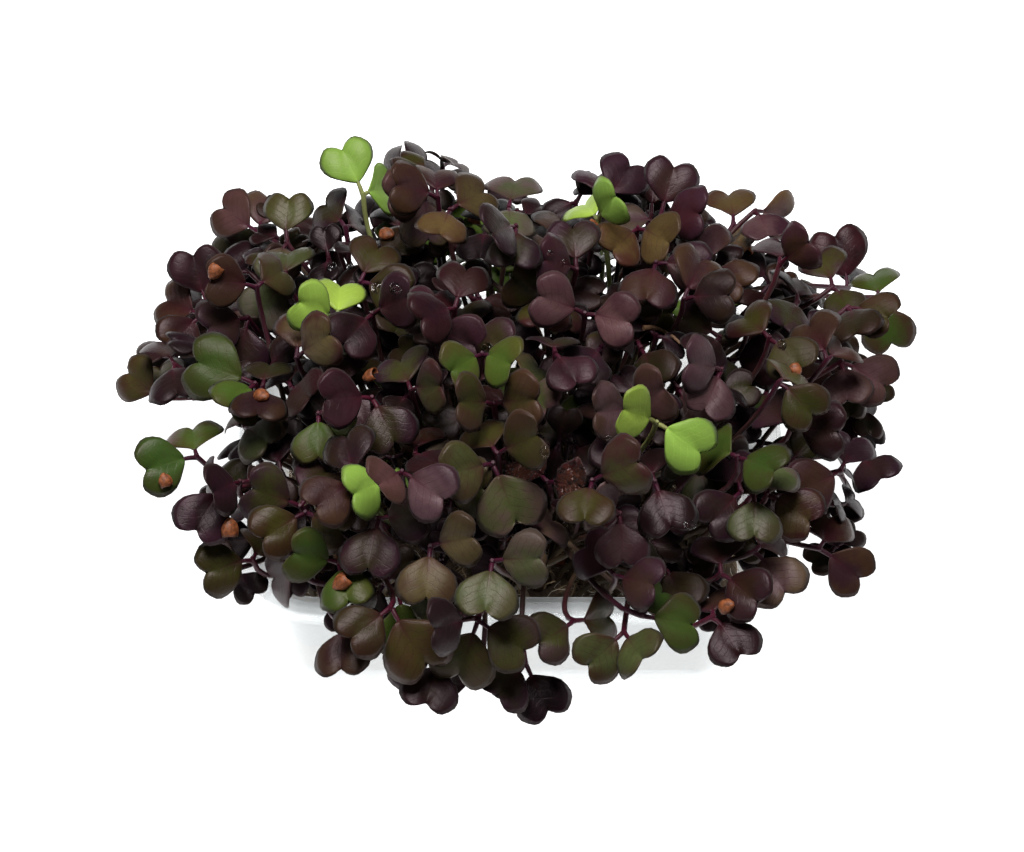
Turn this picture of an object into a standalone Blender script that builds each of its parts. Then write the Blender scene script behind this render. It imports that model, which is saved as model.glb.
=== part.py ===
"""Radish microgreens growing in a clear punnet.

The punnet stands on its base at z = 0, with its long side along X. A mat of growing medium lies in
it, with rows of plain holes. A root plug stands in each hole and carries up to three seedlings. A
seedling is a stem with two heart-shaped seed leaves on short stalks. The leaves make one dense
mound that spills over all four sides.

Seedlings that can be told apart in the picture are placed by where their stem top and the notches
of their two leaves are seen. Each is then moved along its line of sight, turned and bent a little,
until it is clear of all the others.
"""

import math
import random
from collections import namedtuple

import bmesh
import bpy
from mathutils import Matrix, Vector
from mathutils.bvhtree import BVHTree

MM = 0.001
CLEARANCE = 0.4 * MM  # least gap that the layout keeps between two tufts

# Punnet: outer sizes over the rim, and its thin moulded wall
TRAY_LENGTH = 158 * MM
TRAY_WIDTH = 118 * MM
TRAY_HEIGHT = 48 * MM
RIM_CORNER_RADIUS = 26 * MM
RIM_WIDTH = 5.6 * MM
LIP_DEPTH = 4.5 * MM
LIP_THICKNESS = 1.1 * MM
RIM_THICKNESS = 1.3 * MM
RIM_ROUNDING = 0.6 * MM
WALL_THICKNESS = 1.2 * MM
WALL_DRAFT = 4.4 * MM  # how far each wall leans in from the rim to the base
FLOOR_THICKNESS = 1.3 * MM
CORNER_STEPS = 6

# Mat of growing medium, with a grid of plain blind holes
MAT_FIT = 0.5 * MM
MAT_LIFT = 0.3 * MM
MAT_THICKNESS = 12 * MM
HOLE_RADIUS = 4.45 * MM
HOLE_DEPTH = 8 * MM
HOLE_SIDES = 6
HOLE_COLUMNS = 8
HOLE_ROWS = 6
COLUMN_SPACING = 16 * MM
ROW_SPACING = 15 * MM

# Root plugs
PLUG_RADIUS = 4 * MM
PLUG_LIFT = 0.4 * MM
PLUG_HEIGHT = 8.8 * MM
FOOT_CIRCLE_RADIUS = 1.8 * MM
FOOT_DEPTH = 3 * MM
PLUG_PLACES = 3

# Seedlings
LEAF_LENGTH = 13.4 * MM
LEAF_WIDTH = 17.0 * MM
LEAF_THICKNESS = 0.72 * MM
LEAF_CUSHION = 2.9 * MM  # rise of each lobe beside the midrib
LEAF_CURL = 3.6 * MM  # fall of the edges
LEAF_ARCH = 2.0 * MM  # fall of the far end
STALK_LENGTH = 3.4 * MM
STALK_HALF_WIDTH = 0.09
STEM_FOOT_RADIUS = 1.05 * MM
STEM_TOP_RADIUS = 0.85 * MM
STEM_SEGMENTS = 4
JOINT_HALF_HEIGHT = 0.7 * MM

# Outline of half a leaf, as (share of the length, share of the half width), and its notch
LEAF_OUTLINE = ((0.09, 0.34), (0.36, 0.86), (0.70, 1.0), (0.99, 0.62))
NOTCH = 0.83
LOBE_CENTRE = (0.58, 0.50)

# Mound: half sizes and how far its surface falls from the crown to each edge
MOUND_HALF_LENGTH = 113 * MM
MOUND_HALF_WIDTH = 88 * MM
MOUND_HEIGHT = 90 * MM
SIDE_FALL = 45 * MM
FRONT_FALL = 50 * MM
BACK_FALL = 5 * MM
FALL_POWER = 2.5
MOUND_FLOOR = 36 * MM  # lowest height of the surface, past the mound's edge

# View that the seedlings are placed in: a picture plane through the middle of the rim
VIEW_ELEVATION = math.radians(52)
VIEW_DISTANCE = 800 * MM
PIXEL = 0.29 * MM  # size of one pixel on that plane
RIM_PIXEL = Vector((510, 447))
MIDDLE_PIXEL = Vector((512, 426))
RIM_CENTRE = Vector((0, 0, TRAY_HEIGHT))
VIEW_RIGHT = Vector((1, 0, 0))
VIEW_UP = Vector((0, math.sin(VIEW_ELEVATION), math.cos(VIEW_ELEVATION)))
VIEW_BACK = Vector((0, -math.cos(VIEW_ELEVATION), math.sin(VIEW_ELEVATION)))
UPWARD = Vector((0, 0, 1))

SIGHT_RANGE = (0.5 * VIEW_DISTANCE, 1.3 * VIEW_DISTANCE)
SIGHT_HALVINGS = 40

# Leaf poses
SIZE_RANGE = (0.90, 1.04)
LARGEST_LEAF = 1.22
MOST_LEAN = math.radians(64)
LEVEL_INSIDE = math.radians(14)  # how steeply a leaf is taken to rise inside the mound
LEVEL_OUTSIDE = math.radians(-8)  # and at its edge
LEVEL_EDGE = 0.8
TWIN_TURN = math.radians(30)
TWIN_NOD = (math.radians(-20), math.radians(35))
TWIN_SIZE = (0.9, 1.0)
JITTER = math.radians(7)
MORE_JITTER = math.radians(6)
NOD_SHARE = 0.7
TURN_SHARE = 0.5

# Stems: upright inside the mound, and arching over the rim at its edge
EDGE_BAND = (0.6, 1.1)
RIM_BAND = (0.6, 0.9)
CLIMB_BAND = (0.55, 1.0)
HANG_RANGE = 12 * MM
RIM_CLIMB = 26 * MM
EDGE_LOWERING = 1.2
HANG_LOWERING = 0.8
FACING_SHARE = 0.3
LEAST_FORWARD = -0.35
MOST_FORWARD = 0.75
CLIMB_SHARE = 0.42
EDGE_CLIMB_SHARE = 0.20
FOOT_LEAN = 0.18
TOP_RUN = 0.30
HANG_RUN = 0.12
SLOPE_STEP = 0.02

# Search for a free place
SEED = 11
TRIES = 400
LIFT_STEP = 1.5 * MM
LIFT_CYCLE = 22
HOLE_CHOICES = 5
FOOT_SHARE_X = 0.52
FOOT_SHARE_Y = 0.46
RISE_RANGE = (0.85, 1.15)
RISE_STEP = 0.25
LEAF_FLOOR_GAP = 3 * MM
OUTER_RING = 0.9
UNDERSTOREY_SPREAD_X = 1.25
UNDERSTOREY_SPREAD_Y = 1.05
UNDERSTOREY_REACH = 42  # pixels
UNDERSTOREY_LIFT = -14

# Shading keeps edges sharper than these
TRAY_SHARP_ANGLE = math.radians(35)
TUFT_SHARP_ANGLE = math.radians(50)

# Colours (linear) and the tuft colour that each leaf tint goes with
Finish = namedtuple("Finish", "colour roughness metallic")
FINISHES = {
    "violet": Finish((0.052, 0.024, 0.036, 1), 0.45, 0.0),
    "umber": Finish((0.085, 0.052, 0.040, 1), 0.45, 0.0),
    "olive": Finish((0.105, 0.100, 0.045, 1), 0.45, 0.0),
    "green": Finish((0.120, 0.200, 0.055, 1), 0.45, 0.0),
    "tray": Finish((0.86, 0.89, 0.90, 1), 0.08, 0.0),
    "mat": Finish((0.19, 0.13, 0.08, 1), 0.95, 0.0),
}
TUFT_COLOUR = {
    "black": "violet",
    "violet": "violet",
    "maroon": "violet",
    "mauve": "violet",
    "umber": "umber",
    "tan": "umber",
    "russet": "umber",
    "olive": "olive",
    "sage": "olive",
    "green": "green",
    "lime": "green",
}

# One seedling as the picture shows it: the stem top, the notch of each leaf, and how far it stands
# above the mound's surface. Without a second notch the leaf's twin lies opposite.
Seen = namedtuple("Seen", "tint joint notch_a notch_b lift", defaults=(None, 0))
SEEN = (
    Seen("lime", (363, 192), (342, 148), (388, 186), 6),
    Seen("mauve", (257, 232), (222, 203), (266, 190), 4),
    Seen("olive", (236, 262), (210, 240), (245, 225)),
    Seen("violet", (205, 303), (190, 255), (182, 290), 2),
    Seen("umber", (256, 285), (214, 280), (285, 262), 2),
    Seen("sage", (285, 277), (283, 250), (262, 318), 4),
    Seen("umber", (200, 314), (160, 300), (178, 345), 2),
    Seen("umber", (303, 262), (335, 262), None, -1),
    Seen("lime", (337, 318), (342, 283), (303, 303), 6),
    Seen("violet", (247, 316), (243, 368), (215, 330), 6),
    Seen("tan", (296, 356), (326, 342), (300, 318), 5),
    Seen("violet", (345, 225), (325, 195), (370, 210)),
    Seen("olive", (360, 280), (378, 243), (402, 292), 3),
    Seen("black", (405, 170), (428, 150), (376, 158), 4),
    Seen("umber", (438, 195), (442, 163), (405, 185), -1),
    Seen("mauve", (425, 190), (428, 240), (398, 196), 7),
    Seen("tan", (450, 208), (482, 190), (440, 235), 3),
    Seen("sage", (509, 205), (512, 176), (511, 232), 5),
    Seen("violet", (516, 224), (516, 262), (490, 232), 3),
    Seen("umber", (555, 240), (562, 208), (535, 262)),
    Seen("violet", (577, 268), (572, 226), (548, 262), 6),
    Seen("lime", (597, 218), (588, 192), (615, 206), -1),
    Seen("violet", (607, 200), (603, 160), (627, 166), 2),
    Seen("umber", (652, 212), (624, 190), (657, 174), 4),
    Seen("violet", (661, 213), (690, 214), (677, 166), 5),
    Seen("tan", (638, 226), (613, 252), (664, 242), 6),
    Seen("violet", (656, 261), (648, 300), (700, 270), 5),
    Seen("umber", (710, 266), (708, 226), (735, 285), 3),
    Seen("umber", (684, 297), (724, 300), (707, 262), 2),
    Seen("olive", (770, 336), (746, 310), (792, 364), 5),
    Seen("tan", (735, 222), (731, 189), (752, 240)),
    Seen("mauve", (757, 209), (790, 213), (765, 234), 4),
    Seen("violet", (780, 262), (806, 250), (780, 235), 3),
    Seen("violet", (720, 335), (686, 316), (703, 354), 3),
    Seen("maroon", (850, 288), (838, 232), (858, 258), 4),
    Seen("green", (880, 297), (875, 270), (893, 346), 2),
    Seen("umber", (850, 305), (880, 322), (853, 330), 2),
    Seen("umber", (829, 358), (810, 333), (846, 336), 3),
    Seen("mauve", (843, 360), (884, 386), (845, 398), 4),
    Seen("violet", (728, 358), (764, 362), (715, 388), 1),
    Seen("olive", (780, 380), (813, 410), (795, 365), 3),
    Seen("mauve", (722, 368), (708, 405), (690, 365), 4),
    Seen("mauve", (632, 408), (598, 414), (655, 395), 6),
    Seen("lime", (657, 421), (625, 412), (699, 449), 11),
    Seen("green", (738, 455), (706, 438), (760, 470), 2),
    Seen("sage", (700, 462), (705, 494), (672, 452), 1),
    Seen("black", (775, 445), (775, 410), (790, 470)),
    Seen("violet", (791, 427), (826, 430), (770, 400), 4),
    Seen("violet", (742, 490), (713, 522), (735, 462), 4),
    Seen("sage", (755, 492), (757, 535), (778, 470), 2),
    Seen("tan", (768, 492), (805, 520), (745, 470), 3),
    Seen("violet", (843, 470), (803, 490), (858, 440), 3),
    Seen("mauve", (620, 512), (622, 556), (597, 500), 7),
    Seen("olive", (592, 479), (590, 520), (622, 473), 3),
    Seen("black", (655, 480), (667, 523), (645, 450), 2),
    Seen("violet", (615, 575), (583, 558), (650, 590), 2),
    Seen("violet", (430, 326), (432, 290), (470, 347), 6),
    Seen("olive", (410, 388), (440, 386), (395, 360), 4),
    Seen("violet", (372, 396), (333, 400), (390, 438), 7),
    Seen("umber", (494, 402), (465, 400), (525, 402), 6),
    Seen("sage", (520, 385), (538, 366), (543, 408), 4),
    Seen("sage", (493, 462), (458, 472), (512, 518), 7),
    Seen("olive", (497, 452), (480, 424), (537, 444), 4),
    Seen("sage", (437, 486), (474, 488), (455, 452), 5),
    Seen("mauve", (402, 470), (382, 480), (437, 492), 5),
    Seen("russet", (547, 480), (523, 464), (577, 485), 3),
    Seen("violet", (378, 517), (371, 563), (417, 513), 7),
    Seen("mauve", (525, 530), (549, 513), (518, 500), 2),
    Seen("tan", (430, 545), (425, 590), (470, 540), 5),
    Seen("olive", (485, 545), (500, 515), (470, 572)),
    Seen("green", (255, 382), (198, 364), (235, 407), 1),
    Seen("green", (318, 412), (347, 408), (322, 452), 3),
    Seen("green", (195, 455), (156, 470), (190, 432), 3),
    Seen("violet", (222, 485), (200, 478), (198, 524)),
    Seen("violet", (300, 505), (256, 492), (322, 470), 4),
    Seen("olive", (305, 511), (269, 536), (337, 530), 5),
    Seen("umber", (355, 480), (323, 500), (345, 440)),
    Seen("olive", (252, 557), (215, 568), (266, 541), 4),
    Seen("maroon", (297, 572), (266, 579), (312, 545), 3),
    Seen("green", (338, 562), (301, 554), (345, 592), 4),
    Seen("umber", (337, 600), (298, 606), (350, 570), 3),
    Seen("umber", (342, 623), (345, 660), (375, 610), 4),
    Seen("umber", (390, 608), (360, 634), (426, 657), 4),
    Seen("green", (398, 592), (438, 597), (410, 643), 6),
    Seen("violet", (440, 658), (425, 697), (393, 665), 3),
    Seen("olive", (478, 621), (461, 674), (522, 645), 5),
    Seen("black", (470, 618), (438, 606), (440, 630), 2),
    Seen("violet", (526, 665), (545, 702), (505, 690), 4),
    Seen("sage", (492, 560), (484, 599), (535, 558), 4),
    Seen("olive", (518, 590), (555, 585), (515, 622), 2),
    Seen("olive", (576, 621), (543, 636), (613, 621), 5),
    Seen("sage", (624, 632), (595, 660), (644, 656), 4),
    Seen("green", (643, 616), (691, 622), (668, 590), 3),
    Seen("tan", (665, 565), (681, 600), (640, 570)),
    Seen("violet", (722, 572), (719, 536), (752, 596), 5),
    Seen("violet", (715, 615), (736, 644), (700, 598), 2),
    Seen("mauve", (757, 550), (777, 530), (779, 585), 4),
    Seen("umber", (822, 549), (836, 518), (859, 576), 3),
    Seen("violet", (812, 550), (818, 592), (812, 525), 1),
    Seen("violet", (860, 455), (831, 427), (873, 471), 2),
    Seen("olive", (160, 398), (124, 378), (146, 358), 2),
    Seen("mauve", (585, 312), (544, 297), (626, 324), 8),
    Seen("olive", (548, 296), (516, 281), (540, 324), 4),
    Seen("maroon", (455, 306), (462, 270), (430, 318), 3),
    Seen("violet", (468, 333), (500, 344), (462, 300), 2),
    Seen("black", (602, 345), (580, 373), (622, 330), 1),
    Seen("umber", (641, 346), (655, 380), (628, 318), 2),
    Seen("olive", (414, 304), (392, 330), (424, 278), 2),
    Seen("violet", (372, 312), (408, 302), (350, 338), 3),
    Seen("green", (482, 352), (506, 372), (462, 372), -1),
)

Leaf = namedtuple("Leaf", "forward side up size")
Pose = namedtuple("Pose", "joint top leaves stem")


def hole_centres():
    """Middle of each hole on the ground plan, row by row."""
    centres = []
    for row in range(HOLE_ROWS):
        for column in range(HOLE_COLUMNS):
            x = (column - (HOLE_COLUMNS - 1) / 2) * COLUMN_SPACING
            y = (row - (HOLE_ROWS - 1) / 2) * ROW_SPACING
            centres.append(Vector((x, y, 0)))
    return centres


HOLE_CENTRES = hole_centres()
MAT_BOTTOM = FLOOR_THICKNESS + MAT_LIFT
MAT_TOP = MAT_BOTTOM + MAT_THICKNESS
PLUG_BOTTOM = MAT_TOP - HOLE_DEPTH + PLUG_LIFT
PLUG_TOP = PLUG_BOTTOM + PLUG_HEIGHT


# Where things are seen


def picture_point(pixel):
    """Point of the picture plane that a pixel shows."""
    across = (pixel[0] - RIM_PIXEL.x) * PIXEL
    up = (RIM_PIXEL.y - pixel[1]) * PIXEL
    return RIM_CENTRE + VIEW_RIGHT * across + VIEW_UP * up


EYE = picture_point(MIDDLE_PIXEL) + VIEW_BACK * VIEW_DISTANCE


def mound_radius(point):
    """0 in the middle of the mound and 1 at its edge."""
    return math.hypot(point.x / MOUND_HALF_LENGTH, point.y / MOUND_HALF_WIDTH)


def mound_height(point):
    """Height of the mound's surface above or below a point."""
    reach = max(math.hypot(point.x, point.y), MM)
    sideways = (point.x / reach) ** 2
    end_fall = FRONT_FALL if point.y < 0 else BACK_FALL
    fall = SIDE_FALL * sideways + end_fall * (1 - sideways)
    return max(MOUND_HEIGHT - fall * mound_radius(point) ** FALL_POWER, MOUND_FLOOR)


def sight_point(pixel, lift):
    """Where the line of sight through a pixel meets the mound's surface, raised by lift."""
    ray = (picture_point(pixel) - EYE).normalized()
    near, far = SIGHT_RANGE
    for _ in range(SIGHT_HALVINGS):
        middle = (near + far) / 2
        point = EYE + ray * middle
        if point.z > mound_height(point) + lift:
            near = middle
        else:
            far = middle
    return EYE + ray * near


# One seedling's pose


def turned(vector, axis, angle):
    """A vector turned about an axis."""
    return Matrix.Rotation(angle, 3, axis) @ vector


def leaf_seen(joint_pixel, notch_pixel, point, rng):
    """Pose of a leaf whose notch is seen at a pixel, from its foreshortened length."""
    across = (notch_pixel[0] - joint_pixel[0]) * PIXEL
    up = (joint_pixel[1] - notch_pixel[1]) * PIXEL
    seen = VIEW_RIGHT * across + VIEW_UP * up
    reach = STALK_LENGTH + NOTCH * LEAF_LENGTH
    size = min(max(seen.length / reach, rng.uniform(*SIZE_RANGE)), LARGEST_LEAF)
    lean = min(math.acos(min(seen.length / (reach * size), 1.0)), MOST_LEAN)
    flat = seen.normalized()
    level = LEVEL_INSIDE if mound_radius(point) < LEVEL_EDGE else LEVEL_OUTSIDE
    choices = []
    for way in (1, -1):
        forward = flat * math.cos(lean) + VIEW_BACK * (way * math.sin(lean))
        facing = VIEW_BACK * math.cos(lean) - flat * (way * math.sin(lean))
        choices.append((abs(math.asin(forward.z) - level), way, forward, facing))
    _, _, forward, facing = min(choices)
    return leaf_facing(forward, facing, size)


def leaf_opposite(leaf, rng):
    """Pose of the twin of a leaf: about opposite, and leaning a little differently."""
    forward = turned(-leaf.forward, leaf.up, rng.uniform(-TWIN_TURN, TWIN_TURN))
    forward = turned(forward, leaf.side, rng.uniform(*TWIN_NOD))
    return leaf_facing(forward, leaf.up, leaf.size * rng.uniform(*TWIN_SIZE))


def leaf_facing(forward, facing, size):
    """Leaf pose with an exact forward direction and its upper face about towards facing."""
    forward = forward.normalized()
    side = facing.cross(forward).normalized()
    return Leaf(forward, side, forward.cross(side), size)


def leaf_jittered(leaf, amount, rng):
    """A leaf rolled, nodded and turned by up to an angle."""
    roll = rng.uniform(-amount, amount)
    nod = rng.uniform(-amount, amount) * NOD_SHARE
    turn = rng.uniform(-amount, amount) * TURN_SHARE
    facing = turned(leaf.up, leaf.forward, roll)
    forward = turned(turned(leaf.forward, leaf.side, nod), leaf.up, turn)
    return leaf_facing(forward, facing, leaf.size)


def share_between(value, start, end):
    """0 at or before start, 1 at or past end, and even in between."""
    return min(max((value - start) / (end - start), 0.0), 1.0)


def hanging(point):
    """1 for a stem top that hangs outside the rim and below it, and 0 for one well above."""
    outside = share_between(mound_radius(point), *RIM_BAND)
    return outside * share_between(TRAY_HEIGHT + HANG_RANGE - point.z, 0.0, 1.5 * HANG_RANGE)


def stem_top_direction(point, leaves):
    """Direction in which the stem arrives: upright inside the mound, outwards at its edge."""
    outward = Vector((point.x / MOUND_HALF_LENGTH, point.y / MOUND_HALF_WIDTH, 0)).normalized()
    edge = share_between(mound_radius(point), *EDGE_BAND)
    facing = (leaves[0].up + leaves[1].up).normalized()
    upright = 1 - EDGE_LOWERING * edge - HANG_LOWERING * hanging(point)
    top = UPWARD * upright + outward * edge + facing * FACING_SHARE
    for _ in range(4):
        top.normalize()
        for leaf in leaves:
            along = leaf.forward.dot(top)
            if along < LEAST_FORWARD:
                top += leaf.forward * (LEAST_FORWARD - along)
            elif along > MOST_FORWARD:
                top -= leaf.forward * (along - MOST_FORWARD)
    return top.normalized()


def bezier(points, share):
    """Point at a share of a cubic curve."""
    a, b, c, d = points
    rest = 1 - share
    return a * rest**3 + b * (3 * rest**2 * share) + c * (3 * rest * share**2) + d * share**3


def stem_curve(foot, joint, top, rise):
    """Four control points from the root plug to the joint: up first, then bending over."""
    span = (joint - foot).length
    hang = hanging(joint)
    outside = share_between(mound_radius(joint), *CLIMB_BAND)
    inside_climb = span * (CLIMB_SHARE + EDGE_CLIMB_SHARE * outside)
    over_rim_climb = TRAY_HEIGHT + RIM_CLIMB - foot.z
    climb = (inside_climb * (1 - hang) + over_rim_climb * hang) * rise
    lean = Vector((joint.x - foot.x, joint.y - foot.y, 0)) * FOOT_LEAN
    end = joint - top * JOINT_HALF_HEIGHT
    run = top * (span * (TOP_RUN + HANG_RUN * hang))
    return (foot, foot + UPWARD * climb + lean, end - run, end)


# One seedling's mesh


def square_ring(centre, across, along, half):
    """Four corners of a stem's square section."""
    return [
        centre + across * half + along * half,
        centre - across * half + along * half,
        centre - across * half - along * half,
        centre + across * half - along * half,
    ]


def leaf_height(leaf, length_share, width_share):
    """Rise of a leaf's surface: cushioned lobes beside a creased midrib, edges curled down."""
    spread = min(length_share / 0.5, 1.0)
    cushion = LEAF_CUSHION * abs(width_share) - LEAF_CURL * width_share**2
    return leaf.size * (cushion * spread - LEAF_ARCH * length_share**2)


def leaf_point(base, leaf, length_share, width_share, growth):
    """Point of a leaf's middle surface; growth widens it for the clearance test."""
    length = LEAF_LENGTH * leaf.size + growth
    half_width = LEAF_WIDTH * leaf.size / 2 + growth
    return (
        base
        + leaf.forward * (length * length_share)
        + leaf.side * (half_width * width_share)
        + leaf.up * leaf_height(leaf, length_share, width_share)
    )


def twist(verts, ring, other):
    """How far the corners of one ring lie from those of another, which a twist makes longer."""
    return sum((verts[a] - verts[b]).length for a, b in zip(ring, other))


def add_leaf(verts, joint, leaf, corners, growth):
    """Adds the corners of a leaf, and returns its stalk's faces and its blade's faces."""
    base = joint + leaf.forward * (STALK_LENGTH * leaf.size)
    half_thickness = LEAF_THICKNESS / 2 + growth
    shares = [(0.0, STALK_HALF_WIDTH)] + list(LEAF_OUTLINE) + [(NOTCH, 0.0)]
    shares += [(u, -v) for u, v in reversed(LEAF_OUTLINE)] + [(0.0, -STALK_HALF_WIDTH)]
    count = len(shares)
    shares += [LOBE_CENTRE, (LOBE_CENTRE[0], -LOBE_CENTRE[1])]
    upper = len(verts)
    for level in (half_thickness, -half_thickness):
        for u, v in shares:
            verts.append(leaf_point(base, leaf, u, v, growth) + leaf.up * level)
    lower = upper + len(shares)
    notch = count // 2
    faces = []
    for first, last, centre in ((0, notch, count), (notch, count - 1, count + 1)):
        rim = list(range(first, last + 1))
        for a, b in zip(rim, rim[1:] + rim[:1]):
            faces.append((upper + centre, upper + b, upper + a))
            faces.append((lower + centre, lower + a, lower + b))
    faces.append((upper, upper + count - 1, upper + notch))
    faces.append((lower, lower + notch, lower + count - 1))
    for a in range(count - 1):
        faces.append((upper + a, upper + a + 1, lower + a + 1, lower + a))
    blade = [upper, upper + count - 1, lower + count - 1, lower]
    shifted = [corners[shift:] + corners[:shift] for shift in range(4)]
    near = min(shifted, key=lambda ring: twist(verts, ring, blade))
    stalk = [(blade[i - 1], near[i - 1], near[i], blade[i]) for i in range(4)]
    return stalk, faces


def seedling_mesh(pose, growth=0.0):
    """Vertices of one closed seedling, and the faces of its stem, stalks and two blades."""
    joint, top, leaves, stem = pose
    across = leaves[0].forward - leaves[1].forward
    across = (across - top * across.dot(top)).normalized()
    along = top.cross(across)
    verts, sides = [], []
    half = STEM_TOP_RADIUS / math.sqrt(2) + growth
    for height in (JOINT_HALF_HEIGHT + growth, -JOINT_HALF_HEIGHT - growth):
        verts += square_ring(joint + top * height, across, along, half)
    axis = top
    for step in range(1, STEM_SEGMENTS + 1):
        share = 1 - step / STEM_SEGMENTS
        centre = bezier(stem, share)
        below = bezier(stem, max(share - SLOPE_STEP, 0.0))
        above = bezier(stem, min(share + SLOPE_STEP, 1.0))
        direction = (above - below).normalized()
        swing = axis.rotation_difference(direction)
        across, along, axis = swing @ across, swing @ along, direction
        radius = STEM_FOOT_RADIUS + (STEM_TOP_RADIUS - STEM_FOOT_RADIUS) * share
        half = radius / math.sqrt(2) + growth
        verts += square_ring(centre, across, along, half)
    rings = len(verts) // 4
    for ring in range(1, rings - 1):
        for i in range(4):
            j = (i + 1) % 4
            a, b = ring * 4, (ring + 1) * 4
            sides.append((a + i, b + i, b + j, a + j))
    last = (rings - 1) * 4
    sides.append((last + 3, last + 2, last + 1, last))
    knot = [(0, 1, 2, 3), (0, 4, 5, 1), (2, 6, 7, 3)]
    stalk_a, blade_a = add_leaf(verts, joint, leaves[0], [0, 3, 7, 4], growth)
    stalk_b, blade_b = add_leaf(verts, joint, leaves[1], [2, 1, 5, 6], growth)
    return verts, sides, knot + stalk_a + stalk_b, blade_a, blade_b


# Where the seedlings stand: one after another, each clear of all before it


Shape = namedtuple("Shape", "stem stalks blade_a blade_b low high leaf_bottom")
Planted = namedtuple("Planted", "hole tint pose shape")


def seedling_shape(pose, growth):
    """Search trees of one seedling's parts, and its box."""
    verts, stem, stalks, blade_a, blade_b = seedling_mesh(pose, growth)
    low = Vector(tuple(min(v[i] for v in verts) for i in range(3)))
    high = Vector(tuple(max(v[i] for v in verts) for i in range(3)))
    leaf_bottom = min(verts[i].z for face in blade_a + blade_b for i in face)
    trees = [BVHTree.FromPolygons(verts, faces) for faces in (stem, stalks, blade_a, blade_b)]
    return Shape(*trees, low, high, leaf_bottom)


def boxes_apart(a, b):
    """Whether the boxes of two shapes are clear of each other."""
    return any(a.low[i] > b.high[i] or b.low[i] > a.high[i] for i in range(3))


def folds_into_itself(shape):
    """Whether a seedling's leaves cut each other or their own stem."""
    if shape.blade_a.overlap(shape.blade_b):
        return True
    return bool(shape.blade_a.overlap(shape.stem) or shape.blade_b.overlap(shape.stem))


def crosses(shape, hole, other):
    """Whether a seedling cuts another. Stems of one plug may meet."""
    if boxes_apart(shape, other.shape):
        return False
    mine = (shape.stem, shape.stalks, shape.blade_a, shape.blade_b)
    theirs = other.shape[:4]
    for i, part in enumerate(mine):
        for j, other_part in enumerate(theirs):
            if i == 0 and j == 0 and other.hole == hole:
                continue
            if part.overlap(other_part):
                return True
    return False


def is_clear(shape, hole, planted, walls):
    """Whether a seedling is clear of the punnet, the mat, itself and all other seedlings."""
    lowest = MAT_TOP + LEAF_FLOOR_GAP if shape.low.y > -TRAY_WIDTH / 2 else LEAF_FLOOR_GAP
    if shape.leaf_bottom < lowest:
        return False
    if any(part.overlap(wall) for part in shape[:4] for wall in walls):
        return False
    if folds_into_itself(shape):
        return False
    return not any(crosses(shape, hole, other) for other in planted)


def holes_near(point, tint, planted):
    """Holes with a free place for a tint, nearest first to below where a stem should rise."""
    wanted = Vector((point.x * FOOT_SHARE_X, point.y * FOOT_SHARE_Y, 0))
    colours, counts = {}, {}
    for seedling in planted:
        colours[seedling.hole] = TUFT_COLOUR[seedling.tint]
        counts[seedling.hole] = counts.get(seedling.hole, 0) + 1
    free = []
    for index, centre in enumerate(HOLE_CENTRES):
        if counts.get(index, 0) >= PLUG_PLACES:
            continue
        if colours.get(index, TUFT_COLOUR[tint]) != TUFT_COLOUR[tint]:
            continue
        free.append(((centre - wanted).length, index))
    return [index for _, index in sorted(free)]


def foot_point(hole, planted):
    """Free place on a root plug, a little below its top."""
    place = sum(1 for seedling in planted if seedling.hole == hole)
    angle = math.tau * place / PLUG_PLACES + hole
    offset = Vector((math.cos(angle), math.sin(angle), 0)) * FOOT_CIRCLE_RADIUS
    return HOLE_CENTRES[hole] + offset + UPWARD * (PLUG_TOP - FOOT_DEPTH)


def lift_step(attempt):
    """0, then ever larger steps along the line of sight, up and down by turns."""
    size = (attempt + 1) // 2
    return size * LIFT_STEP if attempt % 2 else -size * LIFT_STEP


def try_pose(seen, attempt, hole, planted, rng):
    """Pose of a seedling that the picture shows, moved and bent a little more at each attempt."""
    lift = seen.lift * MM + lift_step(attempt % LIFT_CYCLE)
    loose = min(attempt / LIFT_CYCLE, 2.0)
    joint = sight_point(seen.joint, lift)
    leaf_a = leaf_seen(seen.joint, seen.notch_a, joint, rng)
    if seen.notch_b:
        leaf_b = leaf_seen(seen.joint, seen.notch_b, joint, rng)
    else:
        leaf_b = leaf_opposite(leaf_a, rng)
    leaves = [leaf_jittered(leaf, JITTER + MORE_JITTER * loose, rng) for leaf in (leaf_a, leaf_b)]
    top = stem_top_direction(joint, leaves)
    rise = rng.uniform(*RISE_RANGE) + RISE_STEP * (attempt % 3 - 1) * min(loose, 1.0)
    stem = stem_curve(foot_point(hole, planted), joint, top, rise)
    return Pose(joint, top, leaves, stem)


def plant(seen, planted, walls, rng):
    """Adds one seedling where it fits, or leaves it out when it fits nowhere."""
    holes = holes_near(sight_point(seen.joint, 0), seen.tint, planted)[:HOLE_CHOICES]
    for attempt in range(TRIES if holes else 0):
        hole = holes[(attempt // 2) % len(holes)]
        pose = try_pose(seen, attempt, hole, planted, rng)
        grown = seedling_shape(pose, CLEARANCE)
        if is_clear(grown, hole, planted, walls):
            planted.append(Planted(hole, seen.tint, pose, seedling_shape(pose, 0.0)))
            return


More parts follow.
